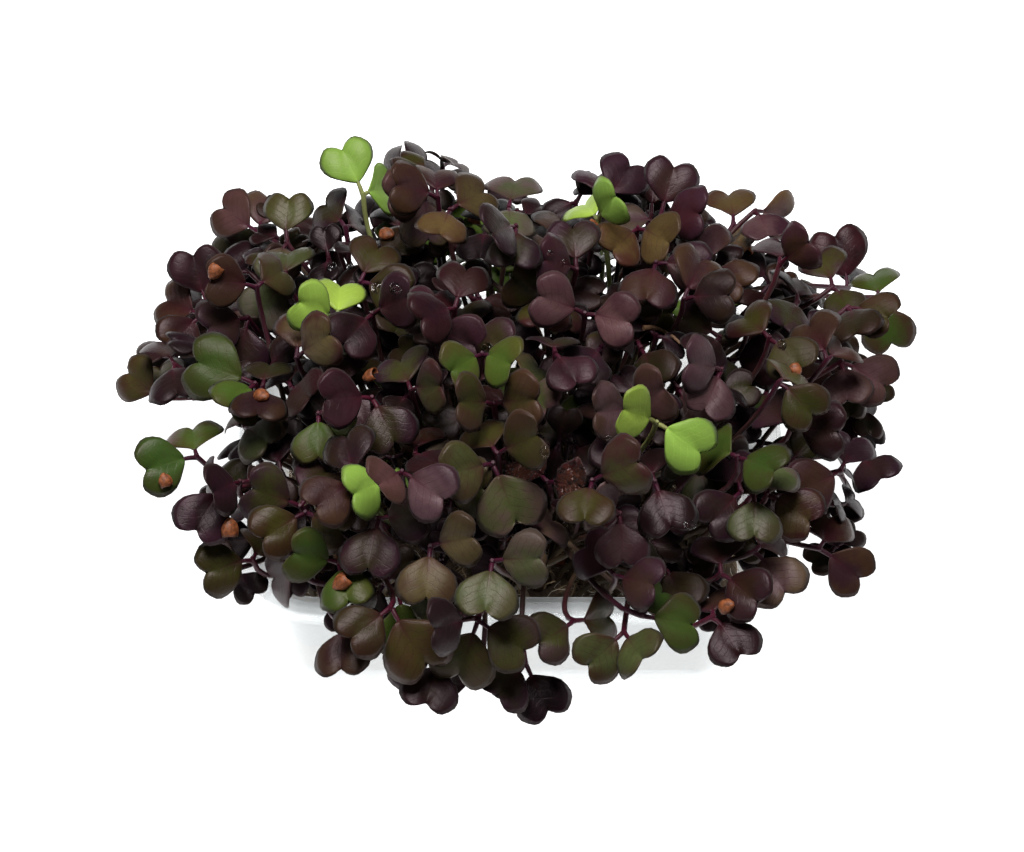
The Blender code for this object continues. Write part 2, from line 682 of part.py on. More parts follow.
def understorey(planted, rng):
    """A short seedling, low in the mound, for each plug that would carry none."""
    used = {seedling.hole for seedling in planted}
    extra = []
    for index, centre in enumerate(HOLE_CENTRES):
        if index in used:
            continue
        x = RIM_PIXEL.x + centre.x * UNDERSTOREY_SPREAD_X / PIXEL
        y = RIM_PIXEL.y - centre.y * UNDERSTOREY_SPREAD_Y / PIXEL
        heading = rng.uniform(0, math.tau)
        across, along = math.cos(heading), math.sin(heading)
        notch = (x + UNDERSTOREY_REACH * across, y + UNDERSTOREY_REACH * along)
        extra.append(Seen("violet", (x, y), notch, None, UNDERSTOREY_LIFT))
    return extra


def plan_seedlings(walls):
    """All seedlings, the outer ring and then the uppermost ones first, clear of the walls."""
    rng = random.Random(SEED)
    planted = []
    inside = {seen: mound_radius(sight_point(seen.joint, 0)) < OUTER_RING for seen in SEEN}
    for seen in sorted(SEEN, key=lambda item: (inside[item], -item.lift)):
        plant(seen, planted, walls, rng)
    for seen in understorey(planted, rng):
        plant(seen, planted, walls, rng)
    return planted


# Building


def new_object(name, mesh, finish):
    """A named object with a material of its own."""
    material = bpy.data.materials.new(name)
    material.use_nodes = True
    shader = material.node_tree.nodes["Principled BSDF"]
    shader.inputs["Base Color"].default_value = finish.colour
    shader.inputs["Roughness"].default_value = finish.roughness
    shader.inputs["Metallic"].default_value = finish.metallic
    material.diffuse_color = finish.colour
    mesh.materials.clear()
    mesh.materials.append(material)
    part = bpy.data.objects.new(name, mesh)
    bpy.context.scene.collection.objects.link(part)
    return part


def mesh_from(name, verts, faces):
    """A mesh with its faces turned outwards."""
    bm = bmesh.new()
    corners = [bm.verts.new(v) for v in verts]
    for face in faces:
        bm.faces.new([corners[i] for i in face])
    bmesh.ops.recalc_face_normals(bm, faces=bm.faces)
    bmesh.ops.triangulate(bm, faces=[f for f in bm.faces if len(f.verts) == 4])
    mesh = bpy.data.meshes.new(name)
    bm.to_mesh(mesh)
    bm.free()
    return mesh


def shade_round(mesh, angle):
    """Smooth shading that keeps edges sharper than an angle."""
    mesh.shade_smooth()
    mesh.set_sharp_from_angle(angle=angle)


def rounded_ring(bm, half_length, half_width, radius, z):
    """Ring of vertices along a rectangle with round corners."""
    ring = []
    for quarter in range(4):
        sign_x = 1 if quarter in (0, 3) else -1
        sign_y = 1 if quarter in (0, 1) else -1
        for step in range(CORNER_STEPS + 1):
            angle = math.radians(90) * (quarter + step / CORNER_STEPS)
            x = sign_x * (half_length - radius) + radius * math.cos(angle)
            y = sign_y * (half_width - radius) + radius * math.sin(angle)
            ring.append(bm.verts.new((x, y, z)))
    return ring


def loft(bm, rings):
    """Walls between neighbouring rings, and a flat cap on the first and the last."""
    for below, above in zip(rings, rings[1:]):
        for i in range(len(below)):
            j = (i + 1) % len(below)
            bm.faces.new((below[i], below[j], above[j], above[i]))
    bm.faces.new(rings[0])
    bm.faces.new(rings[-1])
    bmesh.ops.recalc_face_normals(bm, faces=bm.faces)


def build_tray():
    """Thin clear punnet: base, leaning walls and a flat rim with a turned-down lip."""
    outer_foot = RIM_WIDTH + WALL_DRAFT
    top = TRAY_HEIGHT
    profile = (
        (outer_foot, 0.0),
        (RIM_WIDTH, top - RIM_THICKNESS),
        (LIP_THICKNESS, top - RIM_THICKNESS),
        (LIP_THICKNESS, top - LIP_DEPTH),
        (0.0, top - LIP_DEPTH),
        (0.0, top - RIM_ROUNDING),
        (RIM_ROUNDING, top),
        (RIM_WIDTH + WALL_THICKNESS - RIM_ROUNDING, top),
        (RIM_WIDTH + WALL_THICKNESS, top - RIM_ROUNDING),
        (outer_foot + WALL_THICKNESS, FLOOR_THICKNESS),
    )
    bm = bmesh.new()
    rings = []
    for inset, z in profile:
        half_length = TRAY_LENGTH / 2 - inset
        half_width = TRAY_WIDTH / 2 - inset
        rings.append(rounded_ring(bm, half_length, half_width, RIM_CORNER_RADIUS - inset, z))
    loft(bm, rings)
    mesh = bpy.data.meshes.new("tray")
    bm.to_mesh(mesh)
    bm.free()
    shade_round(mesh, TRAY_SHARP_ANGLE)
    return new_object("tray", mesh, FINISHES["tray"])


def hole_cutter():
    """Cutter with one plain prism for each hole of the mat."""
    bm = bmesh.new()
    depth = HOLE_DEPTH + MAT_THICKNESS
    for centre in HOLE_CENTRES:
        middle = centre + UPWARD * (MAT_TOP - HOLE_DEPTH + depth / 2)
        bmesh.ops.create_cone(
            bm,
            cap_ends=True,
            segments=HOLE_SIDES,
            radius1=HOLE_RADIUS,
            radius2=HOLE_RADIUS,
            depth=depth,
            matrix=Matrix.Translation(middle),
        )
    mesh = bpy.data.meshes.new("hole_cutter")
    bm.to_mesh(mesh)
    bm.free()
    cutter = bpy.data.objects.new("hole_cutter", mesh)
    bpy.context.scene.collection.objects.link(cutter)
    cutter.hide_render = True
    cutter.display_type = "WIRE"
    return cutter


def build_mat():
    """Mat of growing medium with its holes."""
    bm = bmesh.new()
    inset = RIM_WIDTH + WALL_DRAFT + WALL_THICKNESS + MAT_FIT
    half_length = TRAY_LENGTH / 2 - inset
    half_width = TRAY_WIDTH / 2 - inset
    radius = RIM_CORNER_RADIUS - inset
    rings = [rounded_ring(bm, half_length, half_width, radius, z) for z in (MAT_BOTTOM, MAT_TOP)]
    loft(bm, rings)
    mesh = bpy.data.meshes.new("growing_mat")
    bm.to_mesh(mesh)
    bm.free()
    mat = new_object("growing_mat", mesh, FINISHES["mat"])
    cut = mat.modifiers.new("holes", "BOOLEAN")
    cut.operation = "DIFFERENCE"
    cut.object = hole_cutter()
    return mat


def plug_mesh(name, hole):
    """Six-sided plug of roots and medium, standing in one hole."""
    bm = bmesh.new()
    middle = HOLE_CENTRES[hole] + UPWARD * (PLUG_BOTTOM + PLUG_HEIGHT / 2)
    bmesh.ops.create_cone(
        bm,
        cap_ends=True,
        segments=HOLE_SIDES,
        radius1=PLUG_RADIUS,
        radius2=PLUG_RADIUS,
        depth=PLUG_HEIGHT,
        matrix=Matrix.Translation(middle),
    )
    mesh = bpy.data.meshes.new(name)
    bm.to_mesh(mesh)
    bm.free()
    return mesh


def build_tuft(hole, seedlings):
    """One root plug joined with its seedlings into one closed body."""
    name = f"tuft_{hole // HOLE_COLUMNS + 1}_{hole % HOLE_COLUMNS + 1}"
    tuft = new_object(name, plug_mesh(name, hole), FINISHES[TUFT_COLOUR[seedlings[0].tint]])
    members = bpy.data.collections.new(name)
    for seedling in seedlings:
        verts, *groups = seedling_mesh(seedling.pose)
        faces = [face for group in groups for face in group]
        member = bpy.data.objects.new("seedling", mesh_from("seedling", verts, faces))
        members.objects.link(member)
    bpy.context.scene.collection.children.link(members)
    union = tuft.modifiers.new("seedlings", "BOOLEAN")
    union.operation = "UNION"
    union.operand_type = "COLLECTION"
    union.collection = members
    union.solver = "MANIFOLD"
    finished = tuft.evaluated_get(bpy.context.evaluated_depsgraph_get())
    joined = bpy.data.meshes.new_from_object(finished)
    tuft.modifiers.clear()
    tuft.data = joined
    tuft.data.name = name
    shade_round(joined, TUFT_SHARP_ANGLE)
    for member in list(members.objects):
        bpy.data.objects.remove(member)
    bpy.data.collections.remove(members)
    return tuft


def surface_tree(part):
    """Search tree of an object's finished surface."""
    finished = part.evaluated_get(bpy.context.evaluated_depsgraph_get()).data
    corners = [v.co for v in finished.vertices]
    return BVHTree.FromPolygons(corners, [tuple(p.vertices) for p in finished.polygons])


def build():
    """The whole punnet of seedlings."""
    for old in list(bpy.data.objects):
        bpy.data.objects.remove(old)
    walls = [surface_tree(part) for part in (build_tray(), build_mat())]
    planted = plan_seedlings(walls)
    for hole in sorted({seedling.hole for seedling in planted}):
        build_tuft(hole, [seedling for seedling in planted if seedling.hole == hole])


build()
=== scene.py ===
"""Radish microgreens in a clear punnet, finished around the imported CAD.

The layout of the seedlings is the CAD's own, worked out again from the same rules. Every tuft of the
CAD gets a finer piece with round stems and veined, cushioned seed leaves. The seedlings that the
mound needs between and under them, the mat's fibres and roots, the seed hulls and the water drops
are added here.
"""

import functools
import math
import random
from collections import namedtuple

import bmesh
import bpy
from mathutils import Matrix, Vector, noise
from mathutils.bvhtree import BVHTree


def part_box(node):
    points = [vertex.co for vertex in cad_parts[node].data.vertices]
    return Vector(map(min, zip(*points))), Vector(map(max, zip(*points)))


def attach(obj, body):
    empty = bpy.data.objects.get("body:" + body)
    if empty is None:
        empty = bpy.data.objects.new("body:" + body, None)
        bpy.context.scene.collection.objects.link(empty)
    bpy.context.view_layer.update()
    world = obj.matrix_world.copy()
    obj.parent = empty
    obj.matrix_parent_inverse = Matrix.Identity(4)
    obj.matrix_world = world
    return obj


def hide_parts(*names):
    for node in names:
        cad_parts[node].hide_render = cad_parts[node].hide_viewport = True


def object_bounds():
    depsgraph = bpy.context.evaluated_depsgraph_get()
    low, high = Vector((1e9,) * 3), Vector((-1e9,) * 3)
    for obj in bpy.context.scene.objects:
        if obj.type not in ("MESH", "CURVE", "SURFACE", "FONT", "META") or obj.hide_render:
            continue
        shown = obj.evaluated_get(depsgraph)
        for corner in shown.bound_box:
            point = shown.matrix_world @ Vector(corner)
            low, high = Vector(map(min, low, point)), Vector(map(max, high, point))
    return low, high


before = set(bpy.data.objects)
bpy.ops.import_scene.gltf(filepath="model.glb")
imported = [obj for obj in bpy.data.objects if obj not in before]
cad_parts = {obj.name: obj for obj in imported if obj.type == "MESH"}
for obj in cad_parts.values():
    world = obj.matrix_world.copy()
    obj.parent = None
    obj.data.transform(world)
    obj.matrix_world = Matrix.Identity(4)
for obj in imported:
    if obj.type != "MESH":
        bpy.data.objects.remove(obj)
CAD_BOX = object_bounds()

bl_info = {
    "name": "Radish Microgreens Tray",
    "version": (1, 0, 0),
    "blender": (4, 5, 0),
    "location": "3D View > Sidebar > Microgreens",
    "description": "A clear punnet of purple radish seedlings, built around its CAD",
    "category": "Object",
}

MM = 0.001
CLEARANCE = 0.4 * MM  # least gap that the layout keeps between two tufts

# Punnet: outer sizes over the rim, and its thin moulded wall
TRAY_LENGTH = 158 * MM
TRAY_WIDTH = 118 * MM
TRAY_HEIGHT = 48 * MM
RIM_CORNER_RADIUS = 26 * MM
RIM_WIDTH = 5.6 * MM
LIP_DEPTH = 4.5 * MM
LIP_THICKNESS = 1.1 * MM
RIM_THICKNESS = 1.3 * MM
RIM_ROUNDING = 0.6 * MM
WALL_THICKNESS = 1.2 * MM
WALL_DRAFT = 4.4 * MM  # how far each wall leans in from the rim to the base
FLOOR_THICKNESS = 1.3 * MM
CORNER_STEPS = 6

# Mat of growing medium, with a grid of plain blind holes
MAT_FIT = 0.5 * MM
MAT_LIFT = 0.3 * MM
MAT_THICKNESS = 12 * MM
HOLE_RADIUS = 4.45 * MM
HOLE_DEPTH = 8 * MM
HOLE_SIDES = 6
HOLE_COLUMNS = 8
HOLE_ROWS = 6
COLUMN_SPACING = 16 * MM
ROW_SPACING = 15 * MM

# Root plugs
PLUG_RADIUS = 4 * MM
PLUG_LIFT = 0.4 * MM
PLUG_HEIGHT = 8.8 * MM
FOOT_CIRCLE_RADIUS = 1.8 * MM
FOOT_DEPTH = 3 * MM
PLUG_PLACES = 3

# Seedlings
LEAF_LENGTH = 13.4 * MM
LEAF_WIDTH = 17.0 * MM
LEAF_THICKNESS = 0.72 * MM
LEAF_CUSHION = 2.9 * MM  # rise of each lobe beside the midrib
LEAF_CURL = 3.6 * MM  # fall of the edges
LEAF_ARCH = 2.0 * MM  # fall of the far end
STALK_LENGTH = 3.4 * MM
STALK_HALF_WIDTH = 0.09
STEM_FOOT_RADIUS = 1.05 * MM
STEM_TOP_RADIUS = 0.85 * MM
STEM_SEGMENTS = 4
JOINT_HALF_HEIGHT = 0.7 * MM

# Outline of half a leaf, as (share of the length, share of the half width), and its notch
LEAF_OUTLINE = ((0.09, 0.34), (0.36, 0.86), (0.70, 1.0), (0.99, 0.62))
NOTCH = 0.83
LOBE_CENTRE = (0.58, 0.50)

# Mound: half sizes and how far its surface falls from the crown to each edge
MOUND_HALF_LENGTH = 113 * MM
MOUND_HALF_WIDTH = 88 * MM
MOUND_HEIGHT = 90 * MM
SIDE_FALL = 45 * MM
FRONT_FALL = 50 * MM
BACK_FALL = 5 * MM
FALL_POWER = 2.5
MOUND_FLOOR = 36 * MM  # lowest height of the surface, past the mound's edge

# View that the seedlings are placed in: a picture plane through the middle of the rim
VIEW_ELEVATION = math.radians(52)
VIEW_DISTANCE = 800 * MM
PIXEL = 0.29 * MM  # size of one pixel on that plane
RIM_PIXEL = Vector((510, 447))
MIDDLE_PIXEL = Vector((512, 426))
RIM_CENTRE = Vector((0, 0, TRAY_HEIGHT))
VIEW_RIGHT = Vector((1, 0, 0))
VIEW_UP = Vector((0, math.sin(VIEW_ELEVATION), math.cos(VIEW_ELEVATION)))
VIEW_BACK = Vector((0, -math.cos(VIEW_ELEVATION), math.sin(VIEW_ELEVATION)))
UPWARD = Vector((0, 0, 1))

SIGHT_RANGE = (0.5 * VIEW_DISTANCE, 1.3 * VIEW_DISTANCE)
SIGHT_HALVINGS = 40

# Leaf poses
SIZE_RANGE = (0.90, 1.04)
LARGEST_LEAF = 1.22
MOST_LEAN = math.radians(64)
LEVEL_INSIDE = math.radians(14)  # how steeply a leaf is taken to rise inside the mound
LEVEL_OUTSIDE = math.radians(-8)  # and at its edge
LEVEL_EDGE = 0.8
TWIN_TURN = math.radians(30)
TWIN_NOD = (math.radians(-20), math.radians(35))
TWIN_SIZE = (0.9, 1.0)
JITTER = math.radians(7)
MORE_JITTER = math.radians(6)
NOD_SHARE = 0.7
TURN_SHARE = 0.5

# Stems: upright inside the mound, and arching over the rim at its edge
EDGE_BAND = (0.6, 1.1)
RIM_BAND = (0.6, 0.9)
CLIMB_BAND = (0.55, 1.0)
HANG_RANGE = 12 * MM
RIM_CLIMB = 26 * MM
EDGE_LOWERING = 1.2
HANG_LOWERING = 0.8
FACING_SHARE = 0.3
LEAST_FORWARD = -0.35
MOST_FORWARD = 0.75
CLIMB_SHARE = 0.42
EDGE_CLIMB_SHARE = 0.20
FOOT_LEAN = 0.18
TOP_RUN = 0.30
HANG_RUN = 0.12
SLOPE_STEP = 0.02

# Search for a free place
SEED = 11
TRIES = 400
LIFT_STEP = 1.5 * MM
LIFT_CYCLE = 22
HOLE_CHOICES = 5
FOOT_SHARE_X = 0.52
FOOT_SHARE_Y = 0.46
RISE_RANGE = (0.85, 1.15)
RISE_STEP = 0.25
LEAF_FLOOR_GAP = 3 * MM
OUTER_RING = 0.9
UNDERSTOREY_SPREAD_X = 1.25
UNDERSTOREY_SPREAD_Y = 1.05
UNDERSTOREY_REACH = 42  # pixels
UNDERSTOREY_LIFT = -14

TRAY_SHARP_ANGLE = math.radians(35)

# The tuft colour that each leaf tint goes with
TUFT_COLOUR = {
    "black": "violet",
    "violet": "violet",
    "maroon": "violet",
    "mauve": "violet",
    "umber": "umber",
    "tan": "umber",
    "russet": "umber",
    "olive": "olive",
    "sage": "olive",
    "green": "green",
    "lime": "green",
}

Seen = namedtuple("Seen", "tint joint notch_a notch_b lift")


def seen_row(tint, x, y, notch_x, notch_y, *rest):
    """A seedling from its row: without a second notch the leaf's twin lies opposite."""
    notch_b = rest[:2] if len(rest) == 3 else None
    return Seen(tint, (x, y), (notch_x, notch_y), notch_b, rest[-1])


# The seedlings as the picture shows them, in pixels: the stem top, the notch of each leaf that is
# seen, and how far the seedling stands above the mound's surface in millimetres
SEEN = tuple(seen_row(*row) for row in (
    ("lime", 363, 192, 342, 148, 388, 186, 6), ("mauve", 257, 232, 222, 203, 266, 190, 4),
    ("olive", 236, 262, 210, 240, 245, 225, 0), ("violet", 205, 303, 190, 255, 182, 290, 2),
    ("umber", 256, 285, 214, 280, 285, 262, 2), ("sage", 285, 277, 283, 250, 262, 318, 4),
    ("umber", 200, 314, 160, 300, 178, 345, 2), ("umber", 303, 262, 335, 262, -1),
    ("lime", 337, 318, 342, 283, 303, 303, 6), ("violet", 247, 316, 243, 368, 215, 330, 6),
    ("tan", 296, 356, 326, 342, 300, 318, 5), ("violet", 345, 225, 325, 195, 370, 210, 0),
    ("olive", 360, 280, 378, 243, 402, 292, 3), ("black", 405, 170, 428, 150, 376, 158, 4),
    ("umber", 438, 195, 442, 163, 405, 185, -1), ("mauve", 425, 190, 428, 240, 398, 196, 7),
    ("tan", 450, 208, 482, 190, 440, 235, 3), ("sage", 509, 205, 512, 176, 511, 232, 5),
    ("violet", 516, 224, 516, 262, 490, 232, 3), ("umber", 555, 240, 562, 208, 535, 262, 0),
    ("violet", 577, 268, 572, 226, 548, 262, 6), ("lime", 597, 218, 588, 192, 615, 206, -1),
    ("violet", 607, 200, 603, 160, 627, 166, 2), ("umber", 652, 212, 624, 190, 657, 174, 4),
    ("violet", 661, 213, 690, 214, 677, 166, 5), ("tan", 638, 226, 613, 252, 664, 242, 6),
    ("violet", 656, 261, 648, 300, 700, 270, 5), ("umber", 710, 266, 708, 226, 735, 285, 3),
    ("umber", 684, 297, 724, 300, 707, 262, 2), ("olive", 770, 336, 746, 310, 792, 364, 5),
    ("tan", 735, 222, 731, 189, 752, 240, 0), ("mauve", 757, 209, 790, 213, 765, 234, 4),
    ("violet", 780, 262, 806, 250, 780, 235, 3), ("violet", 720, 335, 686, 316, 703, 354, 3),
    ("maroon", 850, 288, 838, 232, 858, 258, 4), ("green", 880, 297, 875, 270, 893, 346, 2),
    ("umber", 850, 305, 880, 322, 853, 330, 2), ("umber", 829, 358, 810, 333, 846, 336, 3),
    ("mauve", 843, 360, 884, 386, 845, 398, 4), ("violet", 728, 358, 764, 362, 715, 388, 1),
    ("olive", 780, 380, 813, 410, 795, 365, 3), ("mauve", 722, 368, 708, 405, 690, 365, 4),
    ("mauve", 632, 408, 598, 414, 655, 395, 6), ("lime", 657, 421, 625, 412, 699, 449, 11),
    ("green", 738, 455, 706, 438, 760, 470, 2), ("sage", 700, 462, 705, 494, 672, 452, 1),
    ("black", 775, 445, 775, 410, 790, 470, 0), ("violet", 791, 427, 826, 430, 770, 400, 4),
    ("violet", 742, 490, 713, 522, 735, 462, 4), ("sage", 755, 492, 757, 535, 778, 470, 2),
    ("tan", 768, 492, 805, 520, 745, 470, 3), ("violet", 843, 470, 803, 490, 858, 440, 3),
    ("mauve", 620, 512, 622, 556, 597, 500, 7), ("olive", 592, 479, 590, 520, 622, 473, 3),
    ("black", 655, 480, 667, 523, 645, 450, 2), ("violet", 615, 575, 583, 558, 650, 590, 2),
    ("violet", 430, 326, 432, 290, 470, 347, 6), ("olive", 410, 388, 440, 386, 395, 360, 4),
    ("violet", 372, 396, 333, 400, 390, 438, 7), ("umber", 494, 402, 465, 400, 525, 402, 6),
    ("sage", 520, 385, 538, 366, 543, 408, 4), ("sage", 493, 462, 458, 472, 512, 518, 7),
    ("olive", 497, 452, 480, 424, 537, 444, 4), ("sage", 437, 486, 474, 488, 455, 452, 5),
    ("mauve", 402, 470, 382, 480, 437, 492, 5), ("russet", 547, 480, 523, 464, 577, 485, 3),
    ("violet", 378, 517, 371, 563, 417, 513, 7), ("mauve", 525, 530, 549, 513, 518, 500, 2),
    ("tan", 430, 545, 425, 590, 470, 540, 5), ("olive", 485, 545, 500, 515, 470, 572, 0),
    ("green", 255, 382, 198, 364, 235, 407, 1), ("green", 318, 412, 347, 408, 322, 452, 3),
    ("green", 195, 455, 156, 470, 190, 432, 3), ("violet", 222, 485, 200, 478, 198, 524, 0),
    ("violet", 300, 505, 256, 492, 322, 470, 4), ("olive", 305, 511, 269, 536, 337, 530, 5),
    ("umber", 355, 480, 323, 500, 345, 440, 0), ("olive", 252, 557, 215, 568, 266, 541, 4),
    ("maroon", 297, 572, 266, 579, 312, 545, 3), ("green", 338, 562, 301, 554, 345, 592, 4),
    ("umber", 337, 600, 298, 606, 350, 570, 3), ("umber", 342, 623, 345, 660, 375, 610, 4),
    ("umber", 390, 608, 360, 634, 426, 657, 4), ("green", 398, 592, 438, 597, 410, 643, 6),
    ("violet", 440, 658, 425, 697, 393, 665, 3), ("olive", 478, 621, 461, 674, 522, 645, 5),
    ("black", 470, 618, 438, 606, 440, 630, 2), ("violet", 526, 665, 545, 702, 505, 690, 4),
    ("sage", 492, 560, 484, 599, 535, 558, 4), ("olive", 518, 590, 555, 585, 515, 622, 2),
    ("olive", 576, 621, 543, 636, 613, 621, 5), ("sage", 624, 632, 595, 660, 644, 656, 4),
    ("green", 643, 616, 691, 622, 668, 590, 3), ("tan", 665, 565, 681, 600, 640, 570, 0),
    ("violet", 722, 572, 719, 536, 752, 596, 5), ("violet", 715, 615, 736, 644, 700, 598, 2),
    ("mauve", 757, 550, 777, 530, 779, 585, 4), ("umber", 822, 549, 836, 518, 859, 576, 3),
    ("violet", 812, 550, 818, 592, 812, 525, 1), ("violet", 860, 455, 831, 427, 873, 471, 2),
    ("olive", 160, 398, 124, 378, 146, 358, 2), ("mauve", 585, 312, 544, 297, 626, 324, 8),
    ("olive", 548, 296, 516, 281, 540, 324, 4), ("maroon", 455, 306, 462, 270, 430, 318, 3),
    ("violet", 468, 333, 500, 344, 462, 300, 2), ("black", 602, 345, 580, 373, 622, 330, 1),
    ("umber", 641, 346, 655, 380, 628, 318, 2), ("olive", 414, 304, 392, 330, 424, 278, 2),
    ("violet", 372, 312, 408, 302, 350, 338, 3), ("green", 482, 352, 506, 372, 462, 372, -1),
))

Leaf = namedtuple("Leaf", "forward side up size")
Pose = namedtuple("Pose", "joint top leaves stem")


def hole_centres():
    """Middle of each hole on the ground plan, row by row."""
    centres = []
    for row in range(HOLE_ROWS):
        for column in range(HOLE_COLUMNS):
            x = (column - (HOLE_COLUMNS - 1) / 2) * COLUMN_SPACING
            y = (row - (HOLE_ROWS - 1) / 2) * ROW_SPACING
            centres.append(Vector((x, y, 0)))
    return centres


HOLE_CENTRES = hole_centres()
MAT_BOTTOM = FLOOR_THICKNESS + MAT_LIFT
MAT_TOP = MAT_BOTTOM + MAT_THICKNESS
PLUG_BOTTOM = MAT_TOP - HOLE_DEPTH + PLUG_LIFT
PLUG_TOP = PLUG_BOTTOM + PLUG_HEIGHT


# Where things are seen


def picture_point(pixel):
    """Point of the picture plane that a pixel shows."""
    across = (pixel[0] - RIM_PIXEL.x) * PIXEL
    up = (RIM_PIXEL.y - pixel[1]) * PIXEL
    return RIM_CENTRE + VIEW_RIGHT * across + VIEW_UP * up


EYE = picture_point(MIDDLE_PIXEL) + VIEW_BACK * VIEW_DISTANCE


def mound_radius(point):
    """0 in the middle of the mound and 1 at its edge."""
    return math.hypot(point.x / MOUND_HALF_LENGTH, point.y / MOUND_HALF_WIDTH)


def mound_height(point):
    """Height of the mound's surface above or below a point."""
    reach = max(math.hypot(point.x, point.y), MM)
    sideways = (point.x / reach) ** 2
    end_fall = FRONT_FALL if point.y < 0 else BACK_FALL
    fall = SIDE_FALL * sideways + end_fall * (1 - sideways)
    return max(MOUND_HEIGHT - fall * mound_radius(point) ** FALL_POWER, MOUND_FLOOR)


def sight_point(pixel, lift):
    """Where the line of sight through a pixel meets the mound's surface, raised by lift."""
    ray = (picture_point(pixel) - EYE).normalized()
    near, far = SIGHT_RANGE
    for _ in range(SIGHT_HALVINGS):
        middle = (near + far) / 2
        point = EYE + ray * middle
        if point.z > mound_height(point) + lift:
            near = middle
        else:
            far = middle
    return EYE + ray * near


# One seedling's pose


def turned(vector, axis, angle):
    """A vector turned about an axis."""
    return Matrix.Rotation(angle, 3, axis) @ vector


def leaf_seen(joint_pixel, notch_pixel, point, rng):
    """Pose of a leaf whose notch is seen at a pixel, from its foreshortened length."""
    across = (notch_pixel[0] - joint_pixel[0]) * PIXEL
    up = (joint_pixel[1] - notch_pixel[1]) * PIXEL
    seen = VIEW_RIGHT * across + VIEW_UP * up
    reach = STALK_LENGTH + NOTCH * LEAF_LENGTH
    size = min(max(seen.length / reach, rng.uniform(*SIZE_RANGE)), LARGEST_LEAF)
    lean = min(math.acos(min(seen.length / (reach * size), 1.0)), MOST_LEAN)
    flat = seen.normalized()
    level = LEVEL_INSIDE if mound_radius(point) < LEVEL_EDGE else LEVEL_OUTSIDE
    choices = []
    for way in (1, -1):
        forward = flat * math.cos(lean) + VIEW_BACK * (way * math.sin(lean))
        facing = VIEW_BACK * math.cos(lean) - flat * (way * math.sin(lean))
        choices.append((abs(math.asin(forward.z) - level), way, forward, facing))
    _, _, forward, facing = min(choices)
    return leaf_facing(forward, facing, size)


def leaf_opposite(leaf, rng):
    """Pose of the twin of a leaf: about opposite, and leaning a little differently."""
    forward = turned(-leaf.forward, leaf.up, rng.uniform(-TWIN_TURN, TWIN_TURN))
    forward = turned(forward, leaf.side, rng.uniform(*TWIN_NOD))
    return leaf_facing(forward, leaf.up, leaf.size * rng.uniform(*TWIN_SIZE))


def leaf_facing(forward, facing, size):
    """Leaf pose with an exact forward direction and its upper face about towards facing."""
    forward = forward.normalized()
    side = facing.cross(forward).normalized()
    return Leaf(forward, side, forward.cross(side), size)


def leaf_jittered(leaf, amount, rng):
    """A leaf rolled, nodded and turned by up to an angle."""
    roll = rng.uniform(-amount, amount)
    nod = rng.uniform(-amount, amount) * NOD_SHARE
    turn = rng.uniform(-amount, amount) * TURN_SHARE
    facing = turned(leaf.up, leaf.forward, roll)
    forward = turned(turned(leaf.forward, leaf.side, nod), leaf.up, turn)
    return leaf_facing(forward, facing, leaf.size)


def share_between(value, start, end):
    """0 at or before start, 1 at or past end, and even in between."""
    return min(max((value - start) / (end - start), 0.0), 1.0)


def hanging(point):
    """1 for a stem top that hangs outside the rim and below it, and 0 for one well above."""
    outside = share_between(mound_radius(point), *RIM_BAND)
    return outside * share_between(TRAY_HEIGHT + HANG_RANGE - point.z, 0.0, 1.5 * HANG_RANGE)


def stem_top_direction(point, leaves):
    """Direction in which the stem arrives: upright inside the mound, outwards at its edge."""
    outward = Vector((point.x / MOUND_HALF_LENGTH, point.y / MOUND_HALF_WIDTH, 0)).normalized()
    edge = share_between(mound_radius(point), *EDGE_BAND)
    facing = (leaves[0].up + leaves[1].up).normalized()
    upright = 1 - EDGE_LOWERING * edge - HANG_LOWERING * hanging(point)
    top = UPWARD * upright + outward * edge + facing * FACING_SHARE
    for _ in range(4):
        top.normalize()
        for leaf in leaves:
            along = leaf.forward.dot(top)
            if along < LEAST_FORWARD:
                top += leaf.forward * (LEAST_FORWARD - along)
            elif along > MOST_FORWARD:
                top -= leaf.forward * (along - MOST_FORWARD)
    return top.normalized()


def bezier(points, share):
    """Point at a share of a cubic curve."""
    a, b, c, d = points
    rest = 1 - share
    return a * rest**3 + b * (3 * rest**2 * share) + c * (3 * rest * share**2) + d * share**3


def stem_curve(foot, joint, top, rise):
    """Four control points from the root plug to the joint: up first, then bending over."""
    span = (joint - foot).length
    hang = hanging(joint)
    outside = share_between(mound_radius(joint), *CLIMB_BAND)
    inside_climb = span * (CLIMB_SHARE + EDGE_CLIMB_SHARE * outside)
    over_rim_climb = TRAY_HEIGHT + RIM_CLIMB - foot.z
    climb = (inside_climb * (1 - hang) + over_rim_climb * hang) * rise
    lean = Vector((joint.x - foot.x, joint.y - foot.y, 0)) * FOOT_LEAN
    end = joint - top * JOINT_HALF_HEIGHT
    run = top * (span * (TOP_RUN + HANG_RUN * hang))
    return (foot, foot + UPWARD * climb + lean, end - run, end)


# One seedling's mesh


def square_ring(centre, across, along, half):
    """Four corners of a stem's square section."""
    return [
        centre + across * half + along * half,
        centre - across * half + along * half,
        centre - across * half - along * half,
        centre + across * half - along * half,
    ]


def leaf_height(leaf, length_share, width_share):
    """Rise of a leaf's surface: cushioned lobes beside a creased midrib, edges curled down."""
    spread = min(length_share / 0.5, 1.0)
    cushion = LEAF_CUSHION * abs(width_share) - LEAF_CURL * width_share**2
    return leaf.size * (cushion * spread - LEAF_ARCH * length_share**2)


